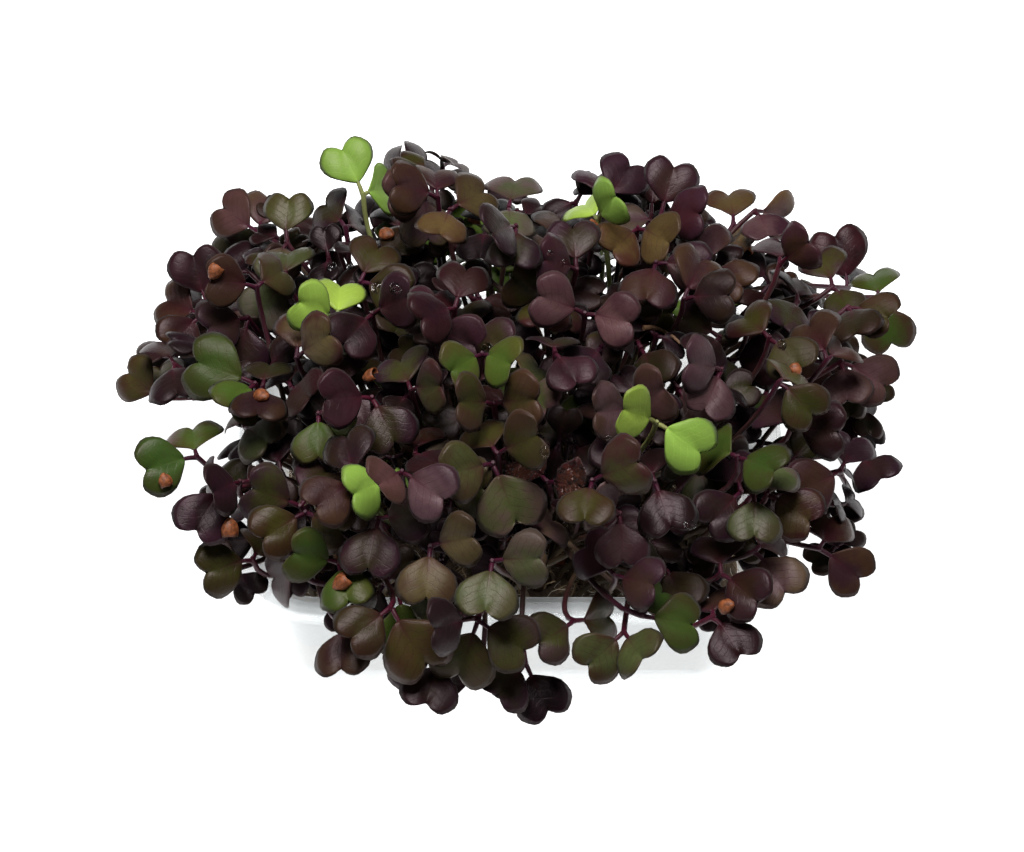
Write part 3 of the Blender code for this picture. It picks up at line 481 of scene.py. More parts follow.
def leaf_point(base, leaf, length_share, width_share, growth):
    """Point of a leaf's middle surface; growth widens it for the clearance test."""
    length = LEAF_LENGTH * leaf.size + growth
    half_width = LEAF_WIDTH * leaf.size / 2 + growth
    return (
        base
        + leaf.forward * (length * length_share)
        + leaf.side * (half_width * width_share)
        + leaf.up * leaf_height(leaf, length_share, width_share)
    )


def twist(verts, ring, other):
    """How far the corners of one ring lie from those of another, which a twist makes longer."""
    return sum((verts[a] - verts[b]).length for a, b in zip(ring, other))


def add_leaf(verts, joint, leaf, corners, growth):
    """Adds the corners of a leaf, and returns its stalk's faces and its blade's faces."""
    base = joint + leaf.forward * (STALK_LENGTH * leaf.size)
    half_thickness = LEAF_THICKNESS / 2 + growth
    shares = [(0.0, STALK_HALF_WIDTH)] + list(LEAF_OUTLINE) + [(NOTCH, 0.0)]
    shares += [(u, -v) for u, v in reversed(LEAF_OUTLINE)] + [(0.0, -STALK_HALF_WIDTH)]
    count = len(shares)
    shares += [LOBE_CENTRE, (LOBE_CENTRE[0], -LOBE_CENTRE[1])]
    upper = len(verts)
    for level in (half_thickness, -half_thickness):
        for u, v in shares:
            verts.append(leaf_point(base, leaf, u, v, growth) + leaf.up * level)
    lower = upper + len(shares)
    notch = count // 2
    faces = []
    for first, last, centre in ((0, notch, count), (notch, count - 1, count + 1)):
        rim = list(range(first, last + 1))
        for a, b in zip(rim, rim[1:] + rim[:1]):
            faces.append((upper + centre, upper + b, upper + a))
            faces.append((lower + centre, lower + a, lower + b))
    faces.append((upper, upper + count - 1, upper + notch))
    faces.append((lower, lower + notch, lower + count - 1))
    for a in range(count - 1):
        faces.append((upper + a, upper + a + 1, lower + a + 1, lower + a))
    blade = [upper, upper + count - 1, lower + count - 1, lower]
    shifted = [corners[shift:] + corners[:shift] for shift in range(4)]
    near = min(shifted, key=lambda ring: twist(verts, ring, blade))
    stalk = [(blade[i - 1], near[i - 1], near[i], blade[i]) for i in range(4)]
    return stalk, faces


def seedling_mesh(pose, growth=0.0):
    """Vertices of one closed seedling, and the faces of its stem, stalks and two blades."""
    joint, top, leaves, stem = pose
    across = leaves[0].forward - leaves[1].forward
    across = (across - top * across.dot(top)).normalized()
    along = top.cross(across)
    verts, sides = [], []
    half = STEM_TOP_RADIUS / math.sqrt(2) + growth
    for height in (JOINT_HALF_HEIGHT + growth, -JOINT_HALF_HEIGHT - growth):
        verts += square_ring(joint + top * height, across, along, half)
    axis = top
    for step in range(1, STEM_SEGMENTS + 1):
        share = 1 - step / STEM_SEGMENTS
        centre = bezier(stem, share)
        below = bezier(stem, max(share - SLOPE_STEP, 0.0))
        above = bezier(stem, min(share + SLOPE_STEP, 1.0))
        direction = (above - below).normalized()
        swing = axis.rotation_difference(direction)
        across, along, axis = swing @ across, swing @ along, direction
        radius = STEM_FOOT_RADIUS + (STEM_TOP_RADIUS - STEM_FOOT_RADIUS) * share
        half = radius / math.sqrt(2) + growth
        verts += square_ring(centre, across, along, half)
    rings = len(verts) // 4
    for ring in range(1, rings - 1):
        for i in range(4):
            j = (i + 1) % 4
            a, b = ring * 4, (ring + 1) * 4
            sides.append((a + i, b + i, b + j, a + j))
    last = (rings - 1) * 4
    sides.append((last + 3, last + 2, last + 1, last))
    knot = [(0, 1, 2, 3), (0, 4, 5, 1), (2, 6, 7, 3)]
    stalk_a, blade_a = add_leaf(verts, joint, leaves[0], [0, 3, 7, 4], growth)
    stalk_b, blade_b = add_leaf(verts, joint, leaves[1], [2, 1, 5, 6], growth)
    return verts, sides, knot + stalk_a + stalk_b, blade_a, blade_b


# Where the seedlings stand: one after another, each clear of all before it

Shape = namedtuple("Shape", "stem stalks blade_a blade_b low high leaf_bottom")
Planted = namedtuple("Planted", "hole tint pose shape")


def seedling_shape(pose, growth):
    """Search trees of one seedling's parts, and its box."""
    verts, stem, stalks, blade_a, blade_b = seedling_mesh(pose, growth)
    low = Vector(tuple(min(v[i] for v in verts) for i in range(3)))
    high = Vector(tuple(max(v[i] for v in verts) for i in range(3)))
    leaf_bottom = min(verts[i].z for face in blade_a + blade_b for i in face)
    trees = [BVHTree.FromPolygons(verts, faces) for faces in (stem, stalks, blade_a, blade_b)]
    return Shape(*trees, low, high, leaf_bottom)


def boxes_apart(a, b):
    """Whether the boxes of two shapes are clear of each other."""
    return any(a.low[i] > b.high[i] or b.low[i] > a.high[i] for i in range(3))


def folds_into_itself(shape):
    """Whether a seedling's leaves cut each other or their own stem."""
    if shape.blade_a.overlap(shape.blade_b):
        return True
    return bool(shape.blade_a.overlap(shape.stem) or shape.blade_b.overlap(shape.stem))


def crosses(shape, hole, other):
    """Whether a seedling cuts another. Stems of one plug may meet."""
    if boxes_apart(shape, other.shape):
        return False
    mine = (shape.stem, shape.stalks, shape.blade_a, shape.blade_b)
    theirs = other.shape[:4]
    for i, part in enumerate(mine):
        for j, other_part in enumerate(theirs):
            if i == 0 and j == 0 and hole in (None, other.hole):
                continue
            if part.overlap(other_part):
                return True
    return False


def is_clear(shape, hole, planted, walls):
    """Whether a seedling is clear of the punnet, the mat, itself and all other seedlings."""
    lowest = MAT_TOP + LEAF_FLOOR_GAP if shape.low.y > -TRAY_WIDTH / 2 else LEAF_FLOOR_GAP
    if shape.leaf_bottom < lowest:
        return False
    if any(part.overlap(wall) for part in shape[:4] for wall in walls):
        return False
    if folds_into_itself(shape):
        return False
    return not any(crosses(shape, hole, other) for other in planted)


def holes_near(point, tint, planted):
    """Holes with a free place for a tint, nearest first to below where a stem should rise."""
    wanted = Vector((point.x * FOOT_SHARE_X, point.y * FOOT_SHARE_Y, 0))
    colours, counts = {}, {}
    for seedling in planted:
        colours[seedling.hole] = TUFT_COLOUR[seedling.tint]
        counts[seedling.hole] = counts.get(seedling.hole, 0) + 1
    free = []
    for index, centre in enumerate(HOLE_CENTRES):
        if counts.get(index, 0) >= PLUG_PLACES:
            continue
        if colours.get(index, TUFT_COLOUR[tint]) != TUFT_COLOUR[tint]:
            continue
        free.append(((centre - wanted).length, index))
    return [index for _, index in sorted(free)]


def foot_point(hole, planted):
    """Free place on a root plug, a little below its top."""
    place = sum(1 for seedling in planted if seedling.hole == hole)
    angle = math.tau * place / PLUG_PLACES + hole
    offset = Vector((math.cos(angle), math.sin(angle), 0)) * FOOT_CIRCLE_RADIUS
    return HOLE_CENTRES[hole] + offset + UPWARD * (PLUG_TOP - FOOT_DEPTH)


def lift_step(attempt):
    """0, then ever larger steps along the line of sight, up and down by turns."""
    size = (attempt + 1) // 2
    return size * LIFT_STEP if attempt % 2 else -size * LIFT_STEP


def try_pose(seen, attempt, foot, rng):
    """Pose of a seedling that the picture shows, moved and bent a little more at each attempt."""
    lift = seen.lift * MM + lift_step(attempt % LIFT_CYCLE)
    loose = min(attempt / LIFT_CYCLE, 2.0)
    joint = sight_point(seen.joint, lift)
    leaf_a = leaf_seen(seen.joint, seen.notch_a, joint, rng)
    if seen.notch_b:
        leaf_b = leaf_seen(seen.joint, seen.notch_b, joint, rng)
    else:
        leaf_b = leaf_opposite(leaf_a, rng)
    leaves = [leaf_jittered(leaf, JITTER + MORE_JITTER * loose, rng) for leaf in (leaf_a, leaf_b)]
    top = stem_top_direction(joint, leaves)
    rise = rng.uniform(*RISE_RANGE) + RISE_STEP * (attempt % 3 - 1) * min(loose, 1.0)
    stem = stem_curve(foot, joint, top, rise)
    return Pose(joint, top, leaves, stem)


def plant(seen, planted, walls, rng):
    """Adds one seedling where it fits, and says whether it does."""
    holes = holes_near(sight_point(seen.joint, 0), seen.tint, planted)[:HOLE_CHOICES]
    for attempt in range(TRIES if holes else 0):
        hole = holes[(attempt // 2) % len(holes)]
        pose = try_pose(seen, attempt, foot_point(hole, planted), rng)
        grown = seedling_shape(pose, CLEARANCE)
        if is_clear(grown, hole, planted, walls):
            planted.append(Planted(hole, seen.tint, pose, seedling_shape(pose, 0.0)))
            return True
    return False


def understorey(planted, rng):
    """A short seedling, low in the mound, for each plug that would carry none."""
    used = {seedling.hole for seedling in planted}
    extra = []
    for index, centre in enumerate(HOLE_CENTRES):
        if index in used:
            continue
        x = RIM_PIXEL.x + centre.x * UNDERSTOREY_SPREAD_X / PIXEL
        y = RIM_PIXEL.y - centre.y * UNDERSTOREY_SPREAD_Y / PIXEL
        heading = rng.uniform(0, math.tau)
        across, along = math.cos(heading), math.sin(heading)
        notch = (x + UNDERSTOREY_REACH * across, y + UNDERSTOREY_REACH * along)
        extra.append(Seen("violet", (x, y), notch, None, UNDERSTOREY_LIFT))
    return extra


def plan_seedlings(walls):
    """The CAD's seedlings in the order that it plants them, and those that fit nowhere in it."""
    rng = random.Random(SEED)
    planted = []
    inside = {seen: mound_radius(sight_point(seen.joint, 0)) < OUTER_RING for seen in SEEN}
    left_out = []
    for seen in sorted(SEEN, key=lambda item: (inside[item], -item.lift)):
        if not plant(seen, planted, walls, rng):
            left_out.append(seen)
    for seen in understorey(planted, rng):
        plant(seen, planted, walls, rng)
    return planted, left_out


# Punnet and mat


def rounded_ring(bm, half_length, half_width, radius, z, steps):
    """Ring of vertices along a rectangle with round corners."""
    ring = []
    for quarter in range(4):
        sign_x = 1 if quarter in (0, 3) else -1
        sign_y = 1 if quarter in (0, 1) else -1
        for step in range(steps + 1):
            angle = math.radians(90) * (quarter + step / steps)
            x = sign_x * (half_length - radius) + radius * math.cos(angle)
            y = sign_y * (half_width - radius) + radius * math.sin(angle)
            ring.append(bm.verts.new((x, y, z)))
    return ring


def walls_between(bm, rings):
    """A band of faces from each ring to the next."""
    for below, above in zip(rings, rings[1:]):
        for i in range(len(below)):
            j = (i + 1) % len(below)
            bm.faces.new((below[i], below[j], above[j], above[i]))


def loft(bm, rings):
    """Closed form: walls between neighbouring rings, and a cap on the first and the last."""
    walls_between(bm, rings)
    bm.faces.new(rings[0])
    bm.faces.new(rings[-1])
    bmesh.ops.recalc_face_normals(bm, faces=bm.faces)


def mesh_of(name, bm):
    """A mesh from finished bmesh work."""
    mesh = bpy.data.meshes.new(name)
    bm.to_mesh(mesh)
    bm.free()
    return mesh


def punnet_mesh(name, steps):
    """Thin punnet: base, leaning walls and a flat rim with a turned-down lip."""
    outer_foot = RIM_WIDTH + WALL_DRAFT
    top = TRAY_HEIGHT
    profile = (
        (outer_foot, 0.0),
        (RIM_WIDTH, top - RIM_THICKNESS),
        (LIP_THICKNESS, top - RIM_THICKNESS),
        (LIP_THICKNESS, top - LIP_DEPTH),
        (0.0, top - LIP_DEPTH),
        (0.0, top - RIM_ROUNDING),
        (RIM_ROUNDING, top),
        (RIM_WIDTH + WALL_THICKNESS - RIM_ROUNDING, top),
        (RIM_WIDTH + WALL_THICKNESS, top - RIM_ROUNDING),
        (outer_foot + WALL_THICKNESS, FLOOR_THICKNESS),
    )
    bm = bmesh.new()
    rings = []
    for inset, z in profile:
        half_length = TRAY_LENGTH / 2 - inset
        half_width = TRAY_WIDTH / 2 - inset
        radius = RIM_CORNER_RADIUS - inset
        rings.append(rounded_ring(bm, half_length, half_width, radius, z, steps))
    loft(bm, rings)
    return mesh_of(name, bm)


def mat_block(name, steps, swell=0.0):
    """The mat's block without its holes, swollen by a little on every side."""
    bm = bmesh.new()
    inset = RIM_WIDTH + WALL_DRAFT + WALL_THICKNESS + MAT_FIT - swell
    half_length = TRAY_LENGTH / 2 - inset
    half_width = TRAY_WIDTH / 2 - inset
    radius = RIM_CORNER_RADIUS - inset
    levels = (MAT_BOTTOM - swell, MAT_TOP + swell)
    loft(bm, [rounded_ring(bm, half_length, half_width, radius, z, steps) for z in levels])
    return mesh_of(name, bm)


def hole_cutter():
    """Cutter with one plain prism for each hole of the mat."""
    bm = bmesh.new()
    depth = HOLE_DEPTH + MAT_THICKNESS
    for centre in HOLE_CENTRES:
        middle = centre + UPWARD * (MAT_TOP - HOLE_DEPTH + depth / 2)
        bmesh.ops.create_cone(
            bm,
            cap_ends=True,
            segments=HOLE_SIDES,
            radius1=HOLE_RADIUS,
            radius2=HOLE_RADIUS,
            depth=depth,
            matrix=Matrix.Translation(middle),
        )
    cutter = placed_piece("hole_cutter", mesh_of("hole_cutter", bm))
    cutter.hide_render = True
    cutter.display_type = "WIRE"
    return cutter


def cut_mat(name):
    """The mat's block with its holes still live, and their cutter as the modifier's object."""
    mat = placed_piece(name, mat_block(name, CORNER_STEPS))
    cut = mat.modifiers.new("holes", "BOOLEAN")
    cut.operation = "DIFFERENCE"
    cut.object = hole_cutter()
    return mat


def surface_tree(part):
    """Search tree of an object's finished surface."""
    finished = part.evaluated_get(bpy.context.evaluated_depsgraph_get()).data
    corners = [v.co for v in finished.vertices]
    return BVHTree.FromPolygons(corners, [tuple(p.vertices) for p in finished.polygons])


def wall_trees():
    """Search trees of the punnet and of the mat, as the CAD's layout has them."""
    punnet = placed_piece("punnet_wall", punnet_mesh("punnet_wall", CORNER_STEPS))
    mat = cut_mat("mat_wall")
    trees = [surface_tree(punnet), surface_tree(mat)]
    for part in (mat.modifiers["holes"].object, punnet, mat):
        bpy.data.objects.remove(part)
    return trees


# The growth between and under the CAD's seedlings

EXTRA_SEED = 29
EXTRA_TRIES = 110
EXTRA_CLEARANCE = 0.08 * MM
LOWEST_LEAF = 17 * MM
FOOT_SPREAD = 10 * MM
FOOT_IN_MAT = 1.2 * MM
FOOT_REACH = 0.92

# Places that the mound is looked over from for gaps: azimuth and elevation in degrees, how far apart
# the lines of sight are on the mound, and how far below its surface one may reach
GAP_VIEWS = (
    (0, 52, 3.6 * MM, 13 * MM),
    (0, 90, 6.0 * MM, 18 * MM),
    (180, 40, 6.0 * MM, 15 * MM),
    (90, 25, 6.0 * MM, 15 * MM),
    (270, 25, 6.0 * MM, 15 * MM),
    (0, 15, 6.0 * MM, 15 * MM),
    (135, 20, 6.0 * MM, 15 * MM),
    (225, 20, 6.0 * MM, 15 * MM),
)
GAP_TRIES = 26
GAP_LAYER = (4 * MM, 26 * MM)
PALE_LAYER = (14 * MM, 36 * MM)
GAP_TINTS = ("black", "violet", "black", "umber", "violet", "maroon", "olive", "black", "mauve", "umber")
GAP_SIZES = (0.60, 0.96)
PALE_PATCHES = (
    (430, 210, 525, 292), (585, 222, 645, 262), (598, 280, 645, 318), (655, 280, 742, 328),
    (222, 410, 248, 458), (335, 240, 360, 290), (748, 380, 800, 402),
)
GAP_NOD = (math.radians(-24), math.radians(14))
GAP_FACING = (0.7, 0.5, 0.5)  # shares of the way out, the way to the eye and straight up
LEAF_MIDDLE = 0.5
SKIRT_RADIUS = 0.93
SKIRT_BOTTOM = 46 * MM
FACING_AWAY = -0.15
LAYOUT_TOLERANCE = 0.8 * MM

# Further seedlings that the picture shows in part, between those of the CAD
GLIMPSED = tuple(seen_row(*row) for row in (
    ("sage", 285, 240, 288, 196, -1), ("olive", 330, 345, 332, 320, -2),
    ("black", 368, 232, 352, 205, 388, 208, -3), ("olive", 633, 310, 665, 308, -3),
    ("umber", 735, 312, 734, 280, -3), ("olive", 835, 285, 826, 250, -3),
    ("maroon", 815, 325, 800, 305, -3), ("violet", 800, 300, 786, 325, -4),
    ("umber", 832, 362, 806, 387, -3), ("green", 768, 388, 767, 368, -6),
    ("green", 600, 388, 590, 415, -3), ("black", 600, 425, 600, 405, -6),
    ("umber", 748, 470, 730, 462, 768, 474, -3), ("green", 800, 480, 822, 518, -3),
    ("umber", 645, 555, 643, 590, -2), ("black", 397, 385, 397, 362, -5),
    ("lime", 385, 480, 362, 492, -2), ("maroon", 415, 452, 412, 428, -3),
    ("lime", 445, 455, 446, 432, -4), ("maroon", 290, 385, 278, 365, 304, 395, -3),
    ("umber", 262, 385, 262, 411, -2), ("sage", 243, 424, 232, 408, 254, 436, -3),
    ("olive", 242, 463, 206, 445, -2), ("black", 240, 480, 228, 492, -4),
    ("tan", 280, 470, 280, 450, -3), ("olive", 252, 525, 240, 500, 265, 548, -2),
    ("violet", 478, 668, 450, 681, 505, 662, -1), ("violet", 555, 660, 605, 675, 0),
    ("violet", 172, 362, 165, 335, 182, 388, -2), ("black", 190, 392, 188, 370, -3),
    ("black", 400, 232, 400, 208, -4), ("black", 515, 618, 498, 610, 535, 626, -2),
    ("violet", 555, 350, 555, 328, -3), ("sage", 700, 350, 700, 328, -3),
    ("green", 465, 372, 465, 350, -6), ("green", 505, 362, 505, 342, -6),
    ("lime", 470, 262, 450, 245, -14), ("lime", 603, 255, 600, 232, -12),
    ("lime", 625, 300, 618, 278, -12), ("lime", 678, 312, 676, 288, -12),
    ("lime", 718, 285, 716, 262, -10), ("lime", 232, 450, 230, 425, -6),
))

# Edge of the mound in the picture, and the windows in it that stay clear, in pixels
FRINGE = (
    (222, 196), (262, 180), (318, 196), (342, 140), (405, 134), (450, 156), (500, 168), (545, 196),
    (596, 156), (640, 166), (684, 162), (700, 208), (736, 180), (770, 180), (800, 214), (836, 224),
    (880, 244), (900, 300), (902, 380), (880, 470), (864, 560), (832, 604), (794, 586), (745, 650),
    (640, 656), (560, 700), (500, 700), (425, 702), (350, 664), (300, 620), (206, 600), (184, 520),
    (150, 478), (158, 430), (118, 372), (150, 300), (180, 250),
)
WINDOWS = ((483, 583, 640, 625), (160, 402, 222, 440), (778, 520, 815, 546), (190, 304, 206, 338))


def pixel_of(point):
    """Pixel of the picture that shows a point."""
    offset = point - EYE
    scale = VIEW_DISTANCE / (-offset.dot(VIEW_BACK) * PIXEL)
    x = MIDDLE_PIXEL.x + offset.dot(VIEW_RIGHT) * scale
    y = MIDDLE_PIXEL.y - offset.dot(VIEW_UP) * scale
    return x, y


def inside_fringe(x, y):
    """Whether a pixel lies inside the edge of the mound."""
    inside = False
    for (x1, y1), (x2, y2) in zip(FRINGE, FRINGE[1:] + FRINGE[:1]):
        if (y1 > y) != (y2 > y) and x < x1 + (y - y1) * (x2 - x1) / (y2 - y1):
            inside = not inside
    return inside


def in_boxes(x, y, boxes):
    """Whether a pixel lies in one of some boxes."""
    return any(x1 < x < x2 and y1 < y < y2 for x1, y1, x2, y2 in boxes)


def leaf_marks(pose):
    """Points round the two leaves of a pose."""
    marks = []
    for leaf in pose.leaves:
        base = pose.joint + leaf.forward * (STALK_LENGTH * leaf.size)
        for u, v in LEAF_OUTLINE:
            marks.append(leaf_point(base, leaf, u, v, 0.0))
            marks.append(leaf_point(base, leaf, u, -v, 0.0))
    return marks


def fits_picture(pose):
    """Whether the leaves of a pose stay inside the mound's edge and out of its windows."""
    for mark in leaf_marks(pose):
        x, y = pixel_of(mark)
        if not inside_fringe(x, y) or in_boxes(x, y, WINDOWS):
            return False
    return True


def fits_cad_box(shape):
    """Whether a seedling stays inside the CAD's box."""
    low, high = CAD_BOX
    return all(shape.low[i] > low[i] and shape.high[i] < high[i] for i in range(3))


def mat_foot(point, rng):
    """Place on the mat for a stem whose top is at a point."""
    inset = RIM_WIDTH + WALL_DRAFT + WALL_THICKNESS + 3 * MM
    reach_x = (TRAY_LENGTH / 2 - inset) * FOOT_REACH
    reach_y = (TRAY_WIDTH / 2 - inset) * FOOT_REACH
    x = point.x * FOOT_SHARE_X + rng.uniform(-FOOT_SPREAD, FOOT_SPREAD)
    y = point.y * FOOT_SHARE_Y + rng.uniform(-FOOT_SPREAD, FOOT_SPREAD)
    x = min(max(x, -reach_x), reach_x)
    y = min(max(y, -reach_y), reach_y)
    return Vector((x, y, MAT_TOP - FOOT_IN_MAT))


def settle(tint, pose, growing, walls):
    """Adds an extra seedling where its pose is clear of all the others."""
    if not fits_picture(pose):
        return False
    shape = seedling_shape(pose, EXTRA_CLEARANCE)
    if shape.leaf_bottom < LOWEST_LEAF or not fits_cad_box(shape):
        return False
    if not is_clear(shape, None, growing, walls):
        return False
    growing.append(Planted(None, tint, pose, seedling_shape(pose, 0.0)))
    return True


def plant_seen(seen, tries, growing, walls, rng):
    """Plants an extra seedling that is seen at given pixels, where it fits."""
    for attempt in range(tries):
        foot = mat_foot(sight_point(seen.joint, seen.lift * MM), rng)
        if settle(seen.tint, try_pose(seen, attempt, foot, rng), growing, walls):
            return


def mound_marks(spacing):
    """Places all over the mound's top and its sides, each with the way out there."""
    marks = []
    steps_x = int(MOUND_HALF_LENGTH / spacing)
    steps_y = int(MOUND_HALF_WIDTH / spacing)
    for i in range(-steps_x, steps_x + 1):
        for j in range(-steps_y, steps_y + 1):
            point = Vector((i * spacing, j * spacing, 0))
            if mound_radius(point) < 1:
                point.z = mound_height(point)
                out = Vector((point.x / MOUND_HALF_LENGTH, point.y / MOUND_HALF_WIDTH, 0))
                marks.append((point, (UPWARD + out).normalized()))
    around = int(math.tau * MOUND_HALF_WIDTH / spacing)
    for k in range(around):
        angle = math.tau * k / around
        way = Vector((math.cos(angle), math.sin(angle), 0))
        edge = Vector((way.x * MOUND_HALF_LENGTH, way.y * MOUND_HALF_WIDTH, 0)) * SKIRT_RADIUS
        levels = int((mound_height(edge) - SKIRT_BOTTOM) / spacing)
        for level in range(levels + 1):
            marks.append((edge + UPWARD * (SKIRT_BOTTOM + level * spacing), way))
    return marks


def view_place(azimuth, elevation):
    """Place from which the mound is looked over, as far away as the picture's own."""
    turn = math.radians(azimuth)
    rise = math.radians(elevation)
    level = Vector((math.sin(turn), -math.cos(turn), 0)) * math.cos(rise)
    return picture_point(MIDDLE_PIXEL) + (level + UPWARD * math.sin(rise)) * VIEW_DISTANCE


def nearest_blade(start, ray, growing):
    """Distance along a ray to the nearest leaf, or infinity."""
    nearest = math.inf
    for seedling in growing:
        shape = seedling.shape
        middle = (shape.low + shape.high) / 2 - start
        if (middle - ray * middle.dot(ray)).length > (shape.high - shape.low).length / 2:
            continue
        for blade in (shape.blade_a, shape.blade_b):
            distance = blade.ray_cast(start, ray)[3]
            if distance is not None:
                nearest = min(nearest, distance)
    return nearest


def gap_pose(middle, facing, rng):
    """Pose with one leaf's middle at a point, facing a given way."""
    level = facing.orthogonal().normalized()
    forward = turned(level, facing, rng.uniform(0, math.tau))
    forward = turned(forward, facing.cross(forward), rng.uniform(*GAP_NOD))
    leaf_a = leaf_facing(forward, facing, rng.uniform(*GAP_SIZES))
    joint = middle - leaf_a.forward * ((STALK_LENGTH + LEAF_LENGTH * LEAF_MIDDLE) * leaf_a.size)
    leaf_b = leaf_opposite(leaf_a, rng)
    leaves = [leaf_jittered(leaf, JITTER, rng) for leaf in (leaf_a, leaf_b)]
    top = stem_top_direction(joint, leaves)
    stem = stem_curve(mat_foot(joint, rng), joint, top, rng.uniform(*RISE_RANGE))
    return Pose(joint, top, leaves, stem)


def plant_gaps(view, growing, walls, rng):
    """Seedlings inside the mound, wherever one of the views would look deep into it: dark ones,
    and pale ones where the picture shows some."""
    azimuth, elevation, spacing, depth = view
    eye = view_place(azimuth, elevation)
    marks = mound_marks(spacing)
    rng.shuffle(marks)
    for point, out in marks:
        ray = (point - eye).normalized()
        if out.dot(ray) > FACING_AWAY:
            continue
        if nearest_blade(eye, ray, growing) < (point - eye).length + depth:
            continue
        outward, backward, upward = GAP_FACING
        facing = (out * outward - ray * backward + UPWARD * upward).normalized()
        tint, layer = rng.choice(GAP_TINTS), GAP_LAYER
        if in_boxes(*pixel_of(point), PALE_PATCHES):
            tint, layer = "lime", PALE_LAYER
        for _ in range(GAP_TRIES):
            middle = point + ray * rng.uniform(*layer)
            if settle(tint, gap_pose(middle, facing, rng), growing, walls):
                break


Growth = namedtuple("Growth", "planted glimpsed undergrowth")


@functools.cache
def growth():
    """All seedlings: those of the CAD, those glimpsed between them and the undergrowth."""
    walls = wall_trees()
    planted, left_out = plan_seedlings(walls)
    check_layout(planted)
    growing = list(planted)
    rng = random.Random(EXTRA_SEED)
    for seen in tuple(left_out) + GLIMPSED:
        plant_seen(seen, EXTRA_TRIES, growing, walls[:1], rng)
    glimpsed_end = len(growing)
    for view in GAP_VIEWS:
        plant_gaps(view, growing, walls[:1], rng)
    return Growth(planted, growing[len(planted):glimpsed_end], growing[glimpsed_end:])


def check_layout(planted):
    """Stops the build if a tuft of the layout reaches past the CAD's own."""
    for hole in {seedling.hole for seedling in planted}:
        shapes = [seedling.shape for seedling in planted if seedling.hole == hole]
        low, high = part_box(tuft_name(hole))
        for i in (0, 1):
            least = min(min(shape.low[i] for shape in shapes), HOLE_CENTRES[hole][i] - PLUG_RADIUS)
            most = max(max(shape.high[i] for shape in shapes), HOLE_CENTRES[hole][i] + PLUG_RADIUS)
            if least < low[i] - LAYOUT_TOLERANCE or most > high[i] + LAYOUT_TOLERANCE:
                raise RuntimeError(f"{tuft_name(hole)} isn't where the CAD has it")


def tuft_name(hole):
    """The CAD's name for the tuft in a hole."""
    return f"tuft_{hole // HOLE_COLUMNS + 1}_{hole % HOLE_COLUMNS + 1}"


# Node trees


class Wire:
    """One output of a node. Arithmetic on it adds Math nodes to the same tree."""

    def __init__(self, nodes, output):
        self.nodes = nodes
        self.output = output

    def other(self, name):
        """Another output of the same node."""
        return Wire(self.nodes, self.nodes.socket(self.output.node.outputs, name))

    def __add__(self, value):
        return self.nodes.maths("ADD", self, value)

    __radd__ = __add__

    def __sub__(self, value):
        return self.nodes.maths("SUBTRACT", self, value)

    def __rsub__(self, value):
        return self.nodes.maths("SUBTRACT", value, self)

    def __mul__(self, value):
        return self.nodes.maths("MULTIPLY", self, value)

    __rmul__ = __mul__

    def __truediv__(self, value):
        return self.nodes.maths("DIVIDE", self, value)

    def __pow__(self, value):
        return self.nodes.maths("POWER", self, value)

    def __abs__(self):
        return self.nodes.maths("ABSOLUTE", self)


